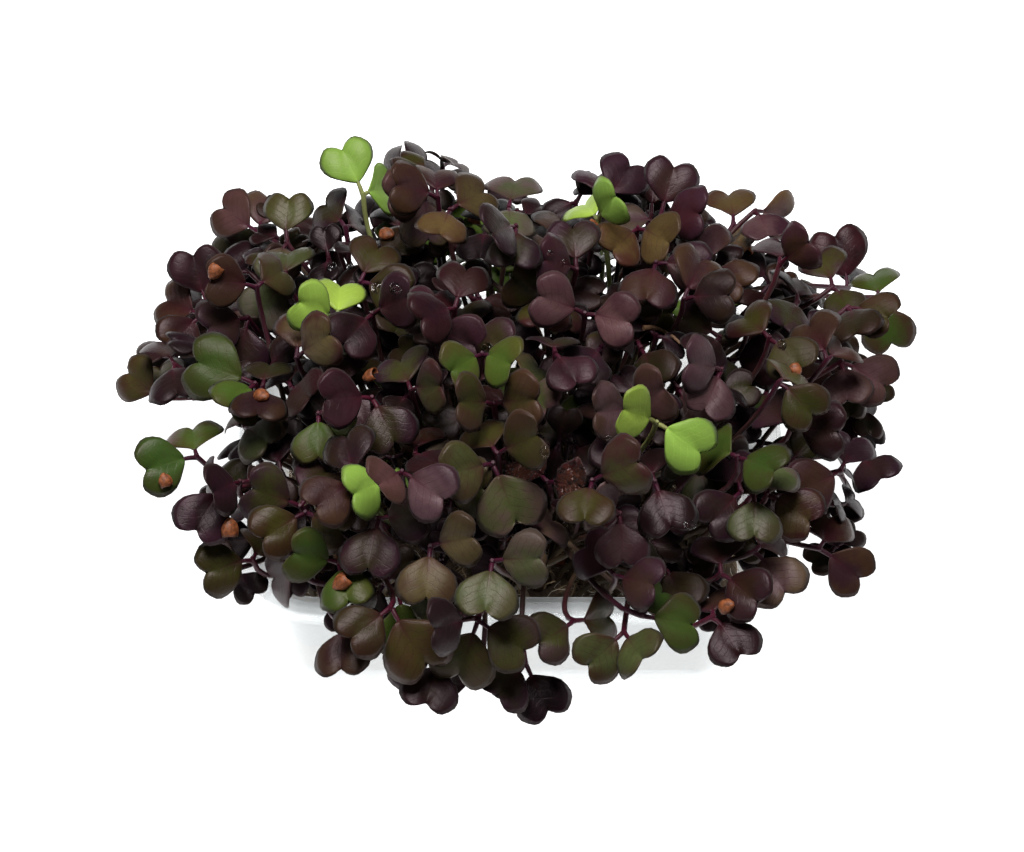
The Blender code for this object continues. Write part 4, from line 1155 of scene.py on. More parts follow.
class Nodes:
    """Adds nodes to one tree, for a material or for a shape."""

    def __init__(self, tree):
        self.tree = tree

    def socket(self, sockets, key):
        """A socket by its place or by its name, among those that are in use."""
        if isinstance(key, int):
            return sockets[key]
        return next(s for s in sockets if s.name == key and s.enabled)

    def add(self, kind, settings, inputs, output=None):
        """Adds a node with its settings, then its values and links, and returns one output."""
        node = self.tree.nodes.new(kind)
        for name, value in settings.items():
            setattr(node, name, value)
        for key, value in inputs.items():
            self.feed(node, key, value)
        outputs = [s for s in node.outputs if s.enabled]
        if not outputs:
            return node
        return Wire(self, outputs[0] if output is None else self.socket(node.outputs, output))

    def feed(self, node, key, value):
        """Gives a socket a value or links it."""
        target = self.socket(node.inputs, key)
        if isinstance(value, Wire):
            self.tree.links.new(value.output, target)
        else:
            target.default_value = value

    def maths(self, operation, *values):
        """A Math node."""
        return self.add("ShaderNodeMath", {"operation": operation}, dict(enumerate(values)))

    def ramp(self, value, start, end, low=0.0, high=1.0):
        """A smooth step from low at start to high at end."""
        inputs = {"Value": value, "From Min": start, "From Max": end, "To Min": low, "To Max": high}
        return self.add("ShaderNodeMapRange", {"interpolation_type": "SMOOTHSTEP"}, inputs)

    def mix(self, share, a, b, blend="MIX"):
        """Two colours mixed by a share."""
        settings = {"data_type": "RGBA", "blend_type": blend}
        return self.add("ShaderNodeMix", settings, {"Factor": share, "A": a, "B": b})

    def evenly(self, value):
        """A vector with all three parts at one value, to scale by."""
        return self.add("ShaderNodeCombineXYZ", {}, {"X": value, "Y": value, "Z": value})

    def grey(self, value):
        """A colour with all three channels at one value, to multiply another by."""
        return self.add("ShaderNodeCombineColor", {}, {"Red": value, "Green": value, "Blue": value})

    def speckle(self, where, scale, detail=2.0, roughness=0.5):
        """Noise from 0 to 1."""
        inputs = {"Vector": where, "Scale": scale, "Detail": detail, "Roughness": roughness}
        return self.add("ShaderNodeTexNoise", {}, inputs)

    def attribute(self, name, output="Fac"):
        """An attribute of the mesh, in a material."""
        return self.add("ShaderNodeAttribute", {"attribute_name": name}, {}, output)

    def position(self):
        """The place on the object, in metres, in a material."""
        return self.add("ShaderNodeTexCoord", {}, {}, "Object")

    def stretched(self, where, x, y, z):
        """A place scaled by its own factor along each axis."""
        return self.add("ShaderNodeMapping", {}, {"Vector": where, "Scale": (x, y, z)})

    def bump(self, height, strength, distance):
        """A normal from a height."""
        inputs = {"Height": height, "Strength": strength, "Distance": distance}
        return self.add("ShaderNodeBump", {}, inputs)

    def named(self, name, kind="FLOAT"):
        """An attribute of the mesh, in a shape."""
        settings = {"data_type": kind}
        return self.add("GeometryNodeInputNamedAttribute", settings, {"Name": name})


def rgba(colour, share=1.0):
    """A colour as four numbers, darkened to a share."""
    return (colour[0] * share, colour[1] * share, colour[2] * share, 1.0)


def surface(colour, roughness, normal):
    """The three inputs that most finishes vary."""
    return {"Base Color": colour, "Roughness": roughness, "Normal": normal}


def finish(name, values, inputs):
    """A Principled material from constants and wires. Wires come from a function of its nodes."""
    material = bpy.data.materials.new(name)
    material.use_nodes = True
    shader = material.node_tree.nodes["Principled BSDF"]
    nodes = Nodes(material.node_tree)
    for key, value in {**values, **inputs(nodes)}.items():
        nodes.feed(shader, key, value)
    return material


# Finishes


VEIN_SPACING = 0.17  # between side veins, as a share of the leaf's length
WATER_IOR = 1.33
WHITE = (1.0, 1.0, 1.0)
CRUMPLE_GLOSS = (0.6, 0.9)  # glossier leaves than these are crinkled, and get painted shade in their folds


@functools.cache
def leaf_finish(name):
    """Waxy seed leaf with a creased midrib, fine side veins, a pale rim and a paler underside; painted
    shade darkens the folds of the crinkled leaves.
    """
    looks = bpy.context.scene.microgreens_leaves

    def wires(n):
        where = n.position()
        along = n.attribute("leaf_along")
        sideways = n.attribute("leaf_across")
        across = abs(sideways)
        rim = n.attribute("leaf_rim")
        under = n.attribute("leaf_under")
        gloss = n.attribute("gloss")
        tint = n.attribute("tint", "Color")
        blush = n.attribute("blush", "Color")
        blotch = n.speckle(where, 130.0, 3.0, 0.6)
        grain = n.speckle(where, 1400.0, 2.0, 0.6)
        waver = (n.speckle(where, 420.0) - 0.5) * 0.12
        midrib = n.ramp(across, 0.060, 0.010) * n.ramp(along, 0.70, 0.15)
        course = (along - across * 0.52 + across * across * 0.16 + waver) / VEIN_SPACING
        comb = abs(n.maths("FRACT", course) - 0.5) * 2.0
        veins = n.ramp(comb, 0.84, 1.0) * n.ramp(across, 0.98, 0.45) * n.ramp(across, 0.0, 0.06)
        to_edge = {"feature": "DISTANCE_TO_EDGE"}
        cells = n.add("ShaderNodeTexVoronoi", to_edge, {"Vector": where, "Scale": 620.0})
        net = n.ramp(cells, 0.10, 0.0)
        folds = n.ramp(n.speckle(where, 290.0, 2.0, 0.5), 0.35, 0.65)
        # fold mask of the crinkled leaves: it drives their relief and their painted shade
        crumple_and_fold_shade = n.ramp(gloss, *CRUMPLE_GLOSS) * folds
        spread = blotch * 0.95 + rim * 0.32 + along * 0.10 + sideways * 0.10 - 0.04
        body = n.mix(n.ramp(spread, 0.45, 0.88), tint, blush)
        body = n.mix(1.0, body, n.grey(0.60 + blotch * 0.80), "MULTIPLY")
        parts = n.add("ShaderNodeSeparateColor", {}, {"Color": tint}, "Red")
        leafy = n.ramp(parts.other("Green") - parts, 0.01, 0.06)
        vein = n.mix(leafy, rgba(looks.vein), n.mix(1.0, tint, n.grey(1.30), "MULTIPLY"))
        crease = n.mix(leafy, rgba(looks.vein, 0.55), vein)
        heart = n.ramp(along, 0.45, 0.0) * n.ramp(across, 0.45, 0.0)
        body = n.mix(heart * 0.50, body, vein)
        body = n.mix(veins * looks.vein_strength + net * 0.08, body, crease)
        body = n.mix(midrib * 0.35, body, vein)
        # painted shade: the crinkled leaves are darkened toward black in their folds
        body = n.mix(crumple_and_fold_shade * 0.4, body, rgba((0, 0, 0)))
        pale = n.mix(0.45, body, rgba(looks.underside))
        body = n.mix(under * 0.75, body, pale)
        edge = n.ramp(rim, 0.93, 0.998)
        body = n.mix(edge * looks.rim_strength, body, rgba(looks.rim))
        height = grain * 0.30 - veins * 0.45 - midrib * 0.5 - net * 0.20 + blotch * 0.5 - crumple_and_fold_shade * 3.6
        rough = looks.roughness + (grain - 0.5) * 0.14 - veins * 0.04 - gloss * 0.20
        relief = n.ramp(gloss, *CRUMPLE_GLOSS, 0.22, 0.85)
        return surface(body, rough, n.bump(height, relief, 0.4 * MM))

    values = {"IOR": WATER_IOR, "Specular IOR Level": 0.50, "Specular Tint": (1.0, 0.83, 0.86, 1.0)}
    values.update({"Sheen Weight": 0.04, "Sheen Roughness": 0.45})
    return finish(name, values, wires)


@functools.cache
def stem_finish():
    """Smooth, sappy magenta stem, streaked along its length."""

    def wires(n):
        where = n.position()
        along = n.attribute("stem_along")
        tint = n.attribute("tint", "Color")
        blush = n.attribute("blush", "Color")
        streak = n.speckle(n.stretched(where, 1500.0, 1500.0, 90.0), 1.0, 2.0, 0.6)
        patch = n.speckle(where, 130.0)
        body = n.mix(n.ramp(along + (patch - 0.5) * 0.5, 0.25, 0.95), blush, tint)
        body = n.mix(1.0, body, n.grey(0.70 + streak * 0.60), "MULTIPLY")
        return surface(body, 0.42 + streak * 0.14, n.bump(streak, 0.30, 0.3 * MM))

    return finish("stem_skin", {"Specular IOR Level": 0.36}, wires)


@functools.cache
def plug_finish():
    """Packed roots and fine growing medium."""
    looks = bpy.context.scene.microgreens_mat

    def wires(n):
        where = n.position()
        crumb = n.speckle(where, 900.0, 4.0, 0.7)
        thread = n.speckle(n.stretched(where, 700.0, 700.0, 160.0), 1.0, 3.0, 0.6)
        white = n.ramp(thread, 0.56, 0.66)
        body = n.mix(crumb, rgba(looks.medium, 0.45), rgba(looks.medium, 1.25))
        body = n.mix(white * 0.75, body, rgba(looks.root))
        relief = n.bump(crumb * 0.6 + white * 0.5, 0.8, 0.8 * MM)
        return surface(body, 0.86 + crumb * 0.12, relief)

    return finish("root_plug", {}, wires)


@functools.cache
def mat_finish():
    """Felted brown plant fibre, darker where it is damp."""
    looks = bpy.context.scene.microgreens_mat

    def wires(n):
        where = n.position()
        felt = n.speckle(n.stretched(where, 420.0, 900.0, 700.0), 1.0, 5.0, 0.7)
        cross = n.speckle(n.stretched(where, 900.0, 380.0, 700.0), 1.0, 5.0, 0.7)
        damp = n.speckle(where, 28.0, 3.0, 0.6)
        weave = felt * 0.5 + cross * 0.5
        body = n.mix(n.ramp(weave, 0.34, 0.68), rgba(looks.medium, 0.38), rgba(looks.medium, 1.35))
        wet = n.ramp(damp, 0.45, 0.65)
        body = n.mix(wet * 0.5, body, rgba(looks.medium, 0.30))
        return surface(body, 0.94 - wet * 0.25, n.bump(weave, 0.9, 1.2 * MM))

    return finish("felted_medium", {}, wires)


def thread_finish(name, colour, spread):
    """Thin plant thread, its colour varied a little from one to the next."""

    def wires(n):
        shade = n.speckle(n.position(), 260.0, 2.0, 0.5)
        body = n.mix(1.0, rgba(colour), n.grey(1.0 - spread / 2 + shade * spread), "MULTIPLY")
        fine = n.speckle(n.position(), 2600.0)
        return {"Base Color": body, "Roughness": 0.7 + fine * 0.2}

    return finish(name, {}, wires)


@functools.cache
def hull_finish():
    """Papery orange-brown seed hull, creased, with painted shade darkening its creases."""
    colour = bpy.context.scene.microgreens_extras.hull

    def wires(n):
        where = n.position()
        wrinkle_and_crease_shade = n.speckle(where, 900.0, 3.0, 0.55)
        patch = n.speckle(where, 330.0)
        # painted shade: the colour follows the relief's noise, dark in the creases and lighter on the
        # ridges
        body = n.mix(n.ramp(wrinkle_and_crease_shade, 0.32, 0.68), rgba(colour, 0.45), rgba(colour, 1.20))
        body = n.mix(n.ramp(patch, 0.5, 0.8) * 0.4, body, rgba(colour, 0.40))
        return surface(body, 0.42 + wrinkle_and_crease_shade * 0.2, n.bump(wrinkle_and_crease_shade, 0.55, 0.4 * MM))

    return finish("seed_hull", {}, wires)


@functools.cache
def water_finish():
    """Clear water."""

    def wires(n):
        ripple = n.speckle(n.position(), 700.0)
        return {"Normal": n.bump(ripple, 0.05, 0.2 * MM)}

    values = {"Base Color": rgba(WHITE), "Roughness": 0.02, "Transmission Weight": 1.0}
    return finish("water", {**values, "IOR": WATER_IOR}, wires)


@functools.cache
def dry_finish():
    """Withered, ridged brown stalk."""

    def wires(n):
        where = n.position()
        ridge = n.speckle(n.stretched(where, 300.0, 1800.0, 1800.0), 1.0, 3.0, 0.6)
        body = n.mix(ridge, rgba((0.10, 0.045, 0.022)), rgba((0.34, 0.19, 0.10)))
        return surface(body, 0.5 + ridge * 0.2, n.bump(ridge, 0.7, 0.4 * MM))

    return finish("withered_stalk", {}, wires)


@functools.cache
def punnet_finish():
    """Thin clear plastic: see-through, and bright where it reflects along its bends."""
    looks = bpy.context.scene.microgreens_punnet
    material = bpy.data.materials.new("clear_plastic")
    material.use_nodes = True
    n = Nodes(material.node_tree)
    shader = material.node_tree.nodes["Principled BSDF"]
    out = material.node_tree.nodes["Material Output"]
    where = n.position()
    flow = n.speckle(n.stretched(where, 60.0, 60.0, 14.0), 1.0, 2.0, 0.5)
    scuff = n.speckle(where, 900.0, 4.0, 0.7)
    normal = n.bump(flow * 0.8 + scuff * 0.06, 0.35, 1.0 * MM)
    haze = n.mix(scuff, rgba(looks.plastic, 0.86), rgba(looks.plastic))
    n.feed(shader, "Base Color", haze)
    n.feed(shader, "Roughness", 0.06 + n.ramp(scuff, 0.55, 0.85) * 0.20)
    n.feed(shader, "Normal", normal)
    shader.inputs["Specular IOR Level"].default_value = 0.6
    clear = n.add("ShaderNodeBsdfTransparent", {}, {"Color": rgba(looks.through)})
    away = n.add("ShaderNodeLayerWeight", {}, {"Blend": 0.5}, "Facing")
    share = looks.haze + away**4.0 * 0.9
    mixed = n.add("ShaderNodeMixShader", {}, {0: share, 1: clear, 2: Wire(n, shader.outputs[0])})
    n.feed(out, "Surface", mixed)
    return material


# Forms that are placed many times


LEAF_ROWS = 15
LEAF_COLUMNS = 5
BLADE_HALF_THICKNESS = 0.27 * MM
LOBE_SHOULDER = (0.965, 0.25)
CREASE_DEPTH = 0.45 * MM
CREASE_WIDTH = 0.085
SKEW_RISE = 12 * MM
COLUMN_CROWDING = 0.8  # below 1, the columns of a blade stand wider apart at its midrib
EDGE_ROUNDING = 5
NOTCH_ROUNDING = 14
MERGE_DISTANCE = 0.004 * MM
PLAIN_FORMS = 10
CRINKLED_FORMS = 2
CRINKLE = 1.1 * MM
CRINKLE_SCALE = 300.0
LEAF_LAYERS = ("leaf_along", "leaf_across", "leaf_rim", "leaf_under")

HULL_LENGTH = 2.3 * MM
HULL_WIDTH = 1.7 * MM
HULL_HEIGHT = 1.25 * MM
HULL_MOUTH = 0.62  # where the pouch is torn off, as a share of its length
HULL_TEAR = 0.30
HULL_DENT = 0.09
HULL_TAPER = 0.30
HULL_THICKNESS = 0.14 * MM
DROP_RADIUS = 1.0 * MM
DROP_FOOT = 0.25 * MM
DROP_FLATNESS = 0.62
THREAD_SIDES = 3
THREAD_WAVER = 0.35
THREAD_TAPER = 0.55

LeafForm = namedtuple("LeafForm", "cushion curl arch wave phase skew cup crinkle")


def leaf_forms():
    """The bends of each leaf form: ten plain ones and two crinkled ones."""
    rng = random.Random(SEED)
    forms = []
    for index in range(PLAIN_FORMS + CRINKLED_FORMS):
        crinkle = CRINKLE if index >= PLAIN_FORMS else 0.0
        forms.append(
            LeafForm(
                cushion=rng.uniform(0.9, 1.35),
                curl=rng.uniform(0.8, 1.3),
                arch=rng.uniform(0.5, 1.3),
                wave=rng.uniform(0.15, 0.55) * MM,
                phase=rng.uniform(0, math.tau),
                skew=rng.uniform(-0.07, 0.07),
                cup=rng.uniform(-0.5, 0.6) * MM,
                crinkle=crinkle,
            )
        )
    return forms


def outline_share(share):
    """Point of half a leaf's outline: from the stalk at 0, round the lobe, to the notch at 1."""
    stops = [(0.0, STALK_HALF_WIDTH)] + list(LEAF_OUTLINE) + [LOBE_SHOULDER, (NOTCH, 0.0)]
    before = (2 * stops[0][0] - stops[1][0], 2 * stops[0][1] - stops[1][1])
    after = (2 * stops[-1][0] - stops[-2][0], 2 * stops[-1][1] - stops[-2][1])
    stops = [before] + stops + [after]
    place = share * (len(stops) - 3)
    first = min(int(place), len(stops) - 4)
    t = place - first
    point = []
    for i in (0, 1):
        a, b, c, d = (stops[first + k][i] for k in range(4))
        bend = (2 * a - 5 * b + 4 * c - d) * t * t + (3 * b - a - 3 * c + d) * t**3
        point.append(0.5 * (2 * b + (c - a) * t + bend))
    return point


def form_height(form, u, v, rim):
    """Rise of a leaf form's middle surface."""
    spread = min(u / 0.5, 1.0)
    cushion = LEAF_CUSHION * form.cushion * abs(v) - LEAF_CURL * form.curl * v * v
    height = cushion * spread - LEAF_ARCH * form.arch * u * u + form.skew * v * SKEW_RISE * u
    height -= CREASE_DEPTH * math.exp(-((v / CREASE_WIDTH) ** 2)) * (1 - 0.5 * u)
    height += form.wave * rim**3 * math.sin(form.phase + 7 * u + 3 * v)
    height += form.cup * rim**4 * spread
    return height


def leaf_form_mesh(index, form):
    """Closed, thin blade of one leaf form, lying along X with its stalk end at the origin."""
    bm = bmesh.new()
    layers = {key: bm.verts.layers.float.new(key) for key in LEAF_LAYERS}
    grids = []
    for side in (1, -1):
        for face in (1, -1):
            rows = []
            for row in range(LEAF_ROWS + 1):
                share = row / LEAF_ROWS
                edge_u, edge_v = outline_share(share)
                line = []
                for column in range(LEAF_COLUMNS + 1):
                    rim = (column / LEAF_COLUMNS) ** COLUMN_CROWDING
                    u = NOTCH * share * (1 - rim) + edge_u * rim
                    v = edge_v * rim
                    thick = math.sqrt(max(0.0, 1 - rim**EDGE_ROUNDING)) * (1 - share**NOTCH_ROUNDING)
                    z = form_height(form, u, v * side, rim) + face * BLADE_HALF_THICKNESS * thick
                    spot = Vector((LEAF_LENGTH * u, LEAF_WIDTH / 2 * v * side, z))
                    if form.crinkle:
                        pull = noise.noise_vector(spot * CRINKLE_SCALE + Vector((index, 0, 0)))
                        spot += pull * form.crinkle * (0.3 + 0.7 * rim)
                    vert = bm.verts.new(spot)
                    vert[layers["leaf_along"]] = u
                    vert[layers["leaf_across"]] = v * side
                    vert[layers["leaf_rim"]] = rim
                    vert[layers["leaf_under"]] = 0.5 if rim > 0.999 else (1 - face) / 2
                    line.append(vert)
                rows.append(line)
            grids.append(rows)
            for lower, upper in zip(rows, rows[1:]):
                for i in range(LEAF_COLUMNS):
                    bm.faces.new((lower[i], lower[i + 1], upper[i + 1], upper[i]))
        top, bottom = grids[-2][0], grids[-1][0]
        for i in range(LEAF_COLUMNS):
            bm.faces.new((top[i], top[i + 1], bottom[i + 1], bottom[i]))
    bmesh.ops.remove_doubles(bm, verts=bm.verts, dist=MERGE_DISTANCE)
    bmesh.ops.recalc_face_normals(bm, faces=bm.faces)
    mesh = mesh_of(f"leaf_form_{index:02d}", bm)
    mesh.shade_smooth()
    return mesh


@functools.cache
def leaf_form_collection():
    """Hidden collection with one object for each leaf form."""
    noise.seed_set(SEED)  # without it, noise_vector takes its offsets from the clock
    collection = bpy.data.collections.new("leaf_forms")
    for index, form in enumerate(leaf_forms()):
        mesh = leaf_form_mesh(index, form)
        collection.objects.link(bpy.data.objects.new(mesh.name, mesh))
    return collection


def hull_form():
    """Split half of a seed's hull: a smooth pouch, drawn to a point and torn at its mouth."""
    bm = bmesh.new()
    along_x = Matrix.Rotation(math.pi / 2, 4, "Y")
    bmesh.ops.create_uvsphere(bm, u_segments=16, v_segments=12, radius=1.0, matrix=along_x)
    mouth = [v for v in bm.verts if v.co.x > HULL_MOUTH]
    bmesh.ops.delete(bm, geom=mouth, context="VERTS")
    for vert in bm.verts:
        x, y, z = vert.co
        tear = HULL_TEAR * noise.noise(vert.co * 2.7) * max(x, 0.0)
        dent = 1 + HULL_DENT * noise.noise(vert.co * 1.7)
        narrow = 1 - HULL_TAPER * x * x * (x < 0)
        vert.co = Vector(((x + tear) * HULL_LENGTH, y * HULL_WIDTH * narrow, z * HULL_HEIGHT * narrow))
        vert.co *= dent
    bmesh.ops.recalc_face_normals(bm, faces=bm.faces)
    bmesh.ops.solidify(bm, geom=bm.faces[:], thickness=HULL_THICKNESS)
    bmesh.ops.recalc_face_normals(bm, faces=bm.faces)
    return hidden_form("hull_form", bm)


def drop_form():
    """Water drop: a flattened dome on a flat foot."""
    bm = bmesh.new()
    bmesh.ops.create_uvsphere(bm, u_segments=16, v_segments=10, radius=DROP_RADIUS)
    for vert in bm.verts:
        vert.co.z = max(vert.co.z, -DROP_FOOT) * DROP_FLATNESS
    bmesh.ops.remove_doubles(bm, verts=bm.verts, dist=0.002 * MM)
    bmesh.ops.recalc_face_normals(bm, faces=bm.faces)
    return hidden_form("drop_form", bm)


def thread_form(name, length, radius, bend, lift, steps):
    """Short curved thread with a three-sided section, lying along X."""
    bm = bmesh.new()
    rings = []
    for step in range(steps + 1):
        share = step / steps
        x = length * (share - 0.5)
        y = bend * math.sin(share * math.pi) + THREAD_WAVER * bend * math.sin(share * 3 * math.pi)
        z = lift * math.sin(share * math.pi)
        girth = radius * (1.0 - THREAD_TAPER * abs(2 * share - 1) ** 2)
        ring = []
        for corner in range(THREAD_SIDES):
            angle = math.tau * corner / THREAD_SIDES
            ring.append(bm.verts.new((x, y + girth * math.cos(angle), z + girth * math.sin(angle))))
        rings.append(ring)
    loft(bm, rings)
    return hidden_form(name, bm)


def hidden_form(name, bm):
    """An object that is in no collection, for a shape tree to place."""
    mesh = mesh_of(name, bm)
    mesh.shade_smooth()
    return bpy.data.objects.new(name, mesh)


# Shape trees


def tree_with(name, sockets):
    """A shape tree with a geometry input, the named inputs and a geometry output."""
    tree = bpy.data.node_groups.new(name, "GeometryNodeTree")
    tree.interface.new_socket("Geometry", in_out="INPUT", socket_type="NodeSocketGeometry")
    for label, kind in sockets:
        tree.interface.new_socket(label, in_out="INPUT", socket_type=kind)
    tree.interface.new_socket("Geometry", in_out="OUTPUT", socket_type="NodeSocketGeometry")
    nodes = Nodes(tree)
    start = nodes.add("NodeGroupInput", {}, {})
    return tree, nodes, start


def end_tree(nodes, geometry):
    """Gives a shape tree its result."""
    nodes.add("NodeGroupOutput", {}, {"Geometry": geometry})


def with_finish(nodes, geometry, material):
    """Geometry made real and given a material."""
    real = nodes.add("GeometryNodeRealizeInstances", {}, {"Geometry": geometry})
    return nodes.add("GeometryNodeSetMaterial", {}, {"Geometry": real, "Material": material})


@functools.cache
def seedling_tree():
    """Round stems along the input's edges, and a leaf form at each of its leaf points."""
    sockets = (
        ("Leaf forms", "NodeSocketCollection"),
        ("Plug", "NodeSocketObject"),
        ("Leaf finish", "NodeSocketMaterial"),
        ("Stem finish", "NodeSocketMaterial"),
        ("Stem sides", "NodeSocketInt"),
    )
    tree, n, start = tree_with("seedlings_on_paths", sockets)
    is_leaf = n.named("is_leaf", "BOOLEAN")
    parts = n.add("GeometryNodeSeparateGeometry", {}, {"Geometry": start, "Selection": is_leaf})
    forms = {"Collection": start.other("Leaf forms"), "Separate Children": True}
    forms["Reset Children"] = True
    turn = n.add("FunctionNodeEulerToRotation", {}, {"Euler": n.named("leaf_turn", "FLOAT_VECTOR")})
    placed = {
        "Points": parts,
        "Instance": n.add("GeometryNodeCollectionInfo", {}, forms),
        "Pick Instance": True,
        "Instance Index": n.named("leaf_form", "INT"),
        "Rotation": turn,
        "Scale": n.evenly(n.named("leaf_size")),
    }
    leaves = n.add("GeometryNodeInstanceOnPoints", {}, placed)
    leaves = with_finish(n, leaves, start.other("Leaf finish"))
    paths = n.add("GeometryNodeMeshToCurve", {}, {"Mesh": parts.other("Inverted")})
    ring = {"Resolution": start.other("Stem sides"), "Radius": 1.0}
    tube = {
        "Curve": paths,
        "Profile Curve": n.add("GeometryNodeCurvePrimitiveCircle", {}, ring),
        "Scale": n.named("girth"),
        "Fill Caps": True,
    }
    stems = n.add("GeometryNodeCurveToMesh", {}, tube)
    stems = n.add("GeometryNodeSetShadeSmooth", {}, {"Geometry": stems, "Shade Smooth": True})
    stems = with_finish(n, stems, start.other("Stem finish"))
    plug = n.add("GeometryNodeObjectInfo", {}, {"Object": start.other("Plug")}, "Geometry")
    joined = n.add("GeometryNodeJoinGeometry", {}, {})
    for branch in (plug, stems, leaves):
        n.tree.links.new(branch.output, joined.output.node.inputs[0])
    end_tree(n, n.add("GeometryNodeRealizeInstances", {}, {"Geometry": joined}))
    return tree


@functools.cache
def scatter_tree():
    """Threads strewn over the input's surface, each lying along it at a random heading."""
    sockets = (
        ("Thread", "NodeSocketObject"),
        ("Finish", "NodeSocketMaterial"),
        ("Density", "NodeSocketFloat"),
        ("Seed", "NodeSocketInt"),
    )
    tree, n, start = tree_with("threads_on_surface", sockets)
    spread = {
        "Mesh": start,
        "Density": start.other("Density"),
        "Seed": start.other("Seed"),
    }
    points = n.add("GeometryNodeDistributePointsOnFaces", {}, spread, "Points")
    spin = n.add(
        "FunctionNodeRandomValue",
        {"data_type": "FLOAT_VECTOR"},
        {"Min": (-0.25, -0.30, 0.0), "Max": (0.25, 0.30, math.tau), "Seed": start.other("Seed")},
    )
    around = n.add("FunctionNodeEulerToRotation", {}, {"Euler": spin})
    turn = n.add(
        "FunctionNodeRotateRotation",
        {"rotation_space": "LOCAL"},
        {"Rotation": points.other("Rotation"), "Rotate By": around},
    )
    scale = n.add(
        "FunctionNodeRandomValue",
        {"data_type": "FLOAT"},
        {"Min": 0.55, "Max": 1.35, "Seed": start.other("Seed")},
    )
    thread = {"Object": start.other("Thread")}
    placed = {
        "Points": points,
        "Instance": n.add("GeometryNodeObjectInfo", {}, thread, "Geometry"),
        "Rotation": turn,
        "Scale": n.evenly(scale),
    }
    copies = n.add("GeometryNodeInstanceOnPoints", {}, placed)
    end_tree(n, with_finish(n, copies, start.other("Finish")))
    return tree


@functools.cache
def placed_tree():
    """A copy of one form at each point of the input, turned and scaled by its attributes."""
    sockets = (("Form", "NodeSocketObject"), ("Finish", "NodeSocketMaterial"))
    tree, n, start = tree_with("forms_at_points", sockets)
    turn = n.add("FunctionNodeEulerToRotation", {}, {"Euler": n.named("turn", "FLOAT_VECTOR")})
    placed = {
        "Points": n.add("GeometryNodeMeshToPoints", {}, {"Mesh": start}),
        "Instance": n.add(
            "GeometryNodeObjectInfo", {}, {"Object": start.other("Form")}, "Geometry"
        ),
        "Rotation": turn,
        "Scale": n.named("stretch", "FLOAT_VECTOR"),
    }
    copies = n.add("GeometryNodeInstanceOnPoints", {}, placed)
    end_tree(n, with_finish(n, copies, start.other("Finish")))
    return tree


def shaped(name, source, tree, inputs):
    """Plain object with the result of a shape tree on a mesh."""
    maker = bpy.data.objects.new(name + "_maker", source)
    bpy.context.scene.collection.objects.link(maker)
    modifier = maker.modifiers.new("shape", "NODES")
    modifier.node_group = tree
    for item in tree.interface.items_tree:
        if item.in_out == "INPUT" and item.name in inputs:
            modifier[item.identifier] = inputs[item.name]
    depsgraph = bpy.context.evaluated_depsgraph_get()
    mesh = bpy.data.meshes.new_from_object(
        maker.evaluated_get(depsgraph), preserve_all_data_layers=True, depsgraph=depsgraph
    )
    bpy.data.objects.remove(maker)
    mesh.name = name
    return placed_piece(name, mesh)


def placed_piece(name, mesh):
    """Links a mesh as a finished piece at the origin."""
    piece = bpy.data.objects.new(name, mesh)
    bpy.context.scene.collection.objects.link(piece)
    return piece


def dress(piece, nodes=()):
    """Attaches a finished piece to the root, and hides the CAD parts that it stands for."""
    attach(piece, "root")
    if nodes:
        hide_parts(*nodes)


# Seedlings


STEM_POINTS = 13
STALK_POINTS = 9
FORK_BELOW = 2.2 * MM
FORK_ABOVE = 0.35 * MM
STEM_SHARE = 0.92
STEM_WAIST = 0.12
FORK_GIRTH = 0.55
STALK_RADII = tuple(r * MM for r in (0.50, 0.64, 0.70, 0.68, 0.64, 0.57, 0.46, 0.32, 0.14))
STALK_UNDER = 0.42
PLUG_ROWS = 6
PLUG_SIDES = 14
PLUG_LUMPS = 0.07
PLUG_SHOULDER = 0.10
PLUG_DOME = 0.5 * MM
DARK_TINTS = ("violet", "black", "maroon", "umber")
LEAF_BRIGHTNESS = ((0.75, 1.25), (0.45, 1.20))  # of the other tints, and of the dark ones
# painted shade: leaves whose stem top lies deeper below the mound's surface get darker colours, down to
# DEEP_SHADE across SHADE_LAYER
DEEP_SHADE = 0.38
CRINKLED_GLOSS = 1.5
SHADE_LAYER = (-18 * MM, 1 * MM)

BLUSHES = {
    "violet": ("umber", "olive", "black", "maroon", "umber"),
    "black": ("violet", "umber", "black"),
    "maroon": ("black", "violet", "umber"),
    "mauve": ("violet", "umber", "tan"),
    "umber": ("violet", "olive", "maroon"),
    "tan": ("maroon", "umber"),
    "russet": ("maroon",),
    "olive": ("violet", "umber", "maroon"),
    "sage": ("mauve", "umber"),
    "green": ("umber", "olive"),
    "lime": ("green",),
}
BLUSH_SHARE = (0.55, 1.0)
PALE_BLUSH_SHARE = 0.15


def blended(a, b, share):
    """A colour between two."""
    return [x + (y - x) * share for x, y in zip(a, b)]


def shaded(colour, brightness, warmth):
    """A colour made brighter or darker, and warmer or cooler."""
    return (
        max(colour[0] * brightness * (1 + warmth), 0.0),
        max(colour[1] * brightness, 0.0),
        max(colour[2] * brightness * (1 - warmth), 0.0),
        1.0,
    )


def stem_colours(tint, looks):
    """Colour of a stem's top and of its foot."""
    if tint == "lime":
        return looks.pale_stem, looks.pale_stem
    return looks.stem, blended(looks.stem, looks.pale_stem, 0.22)


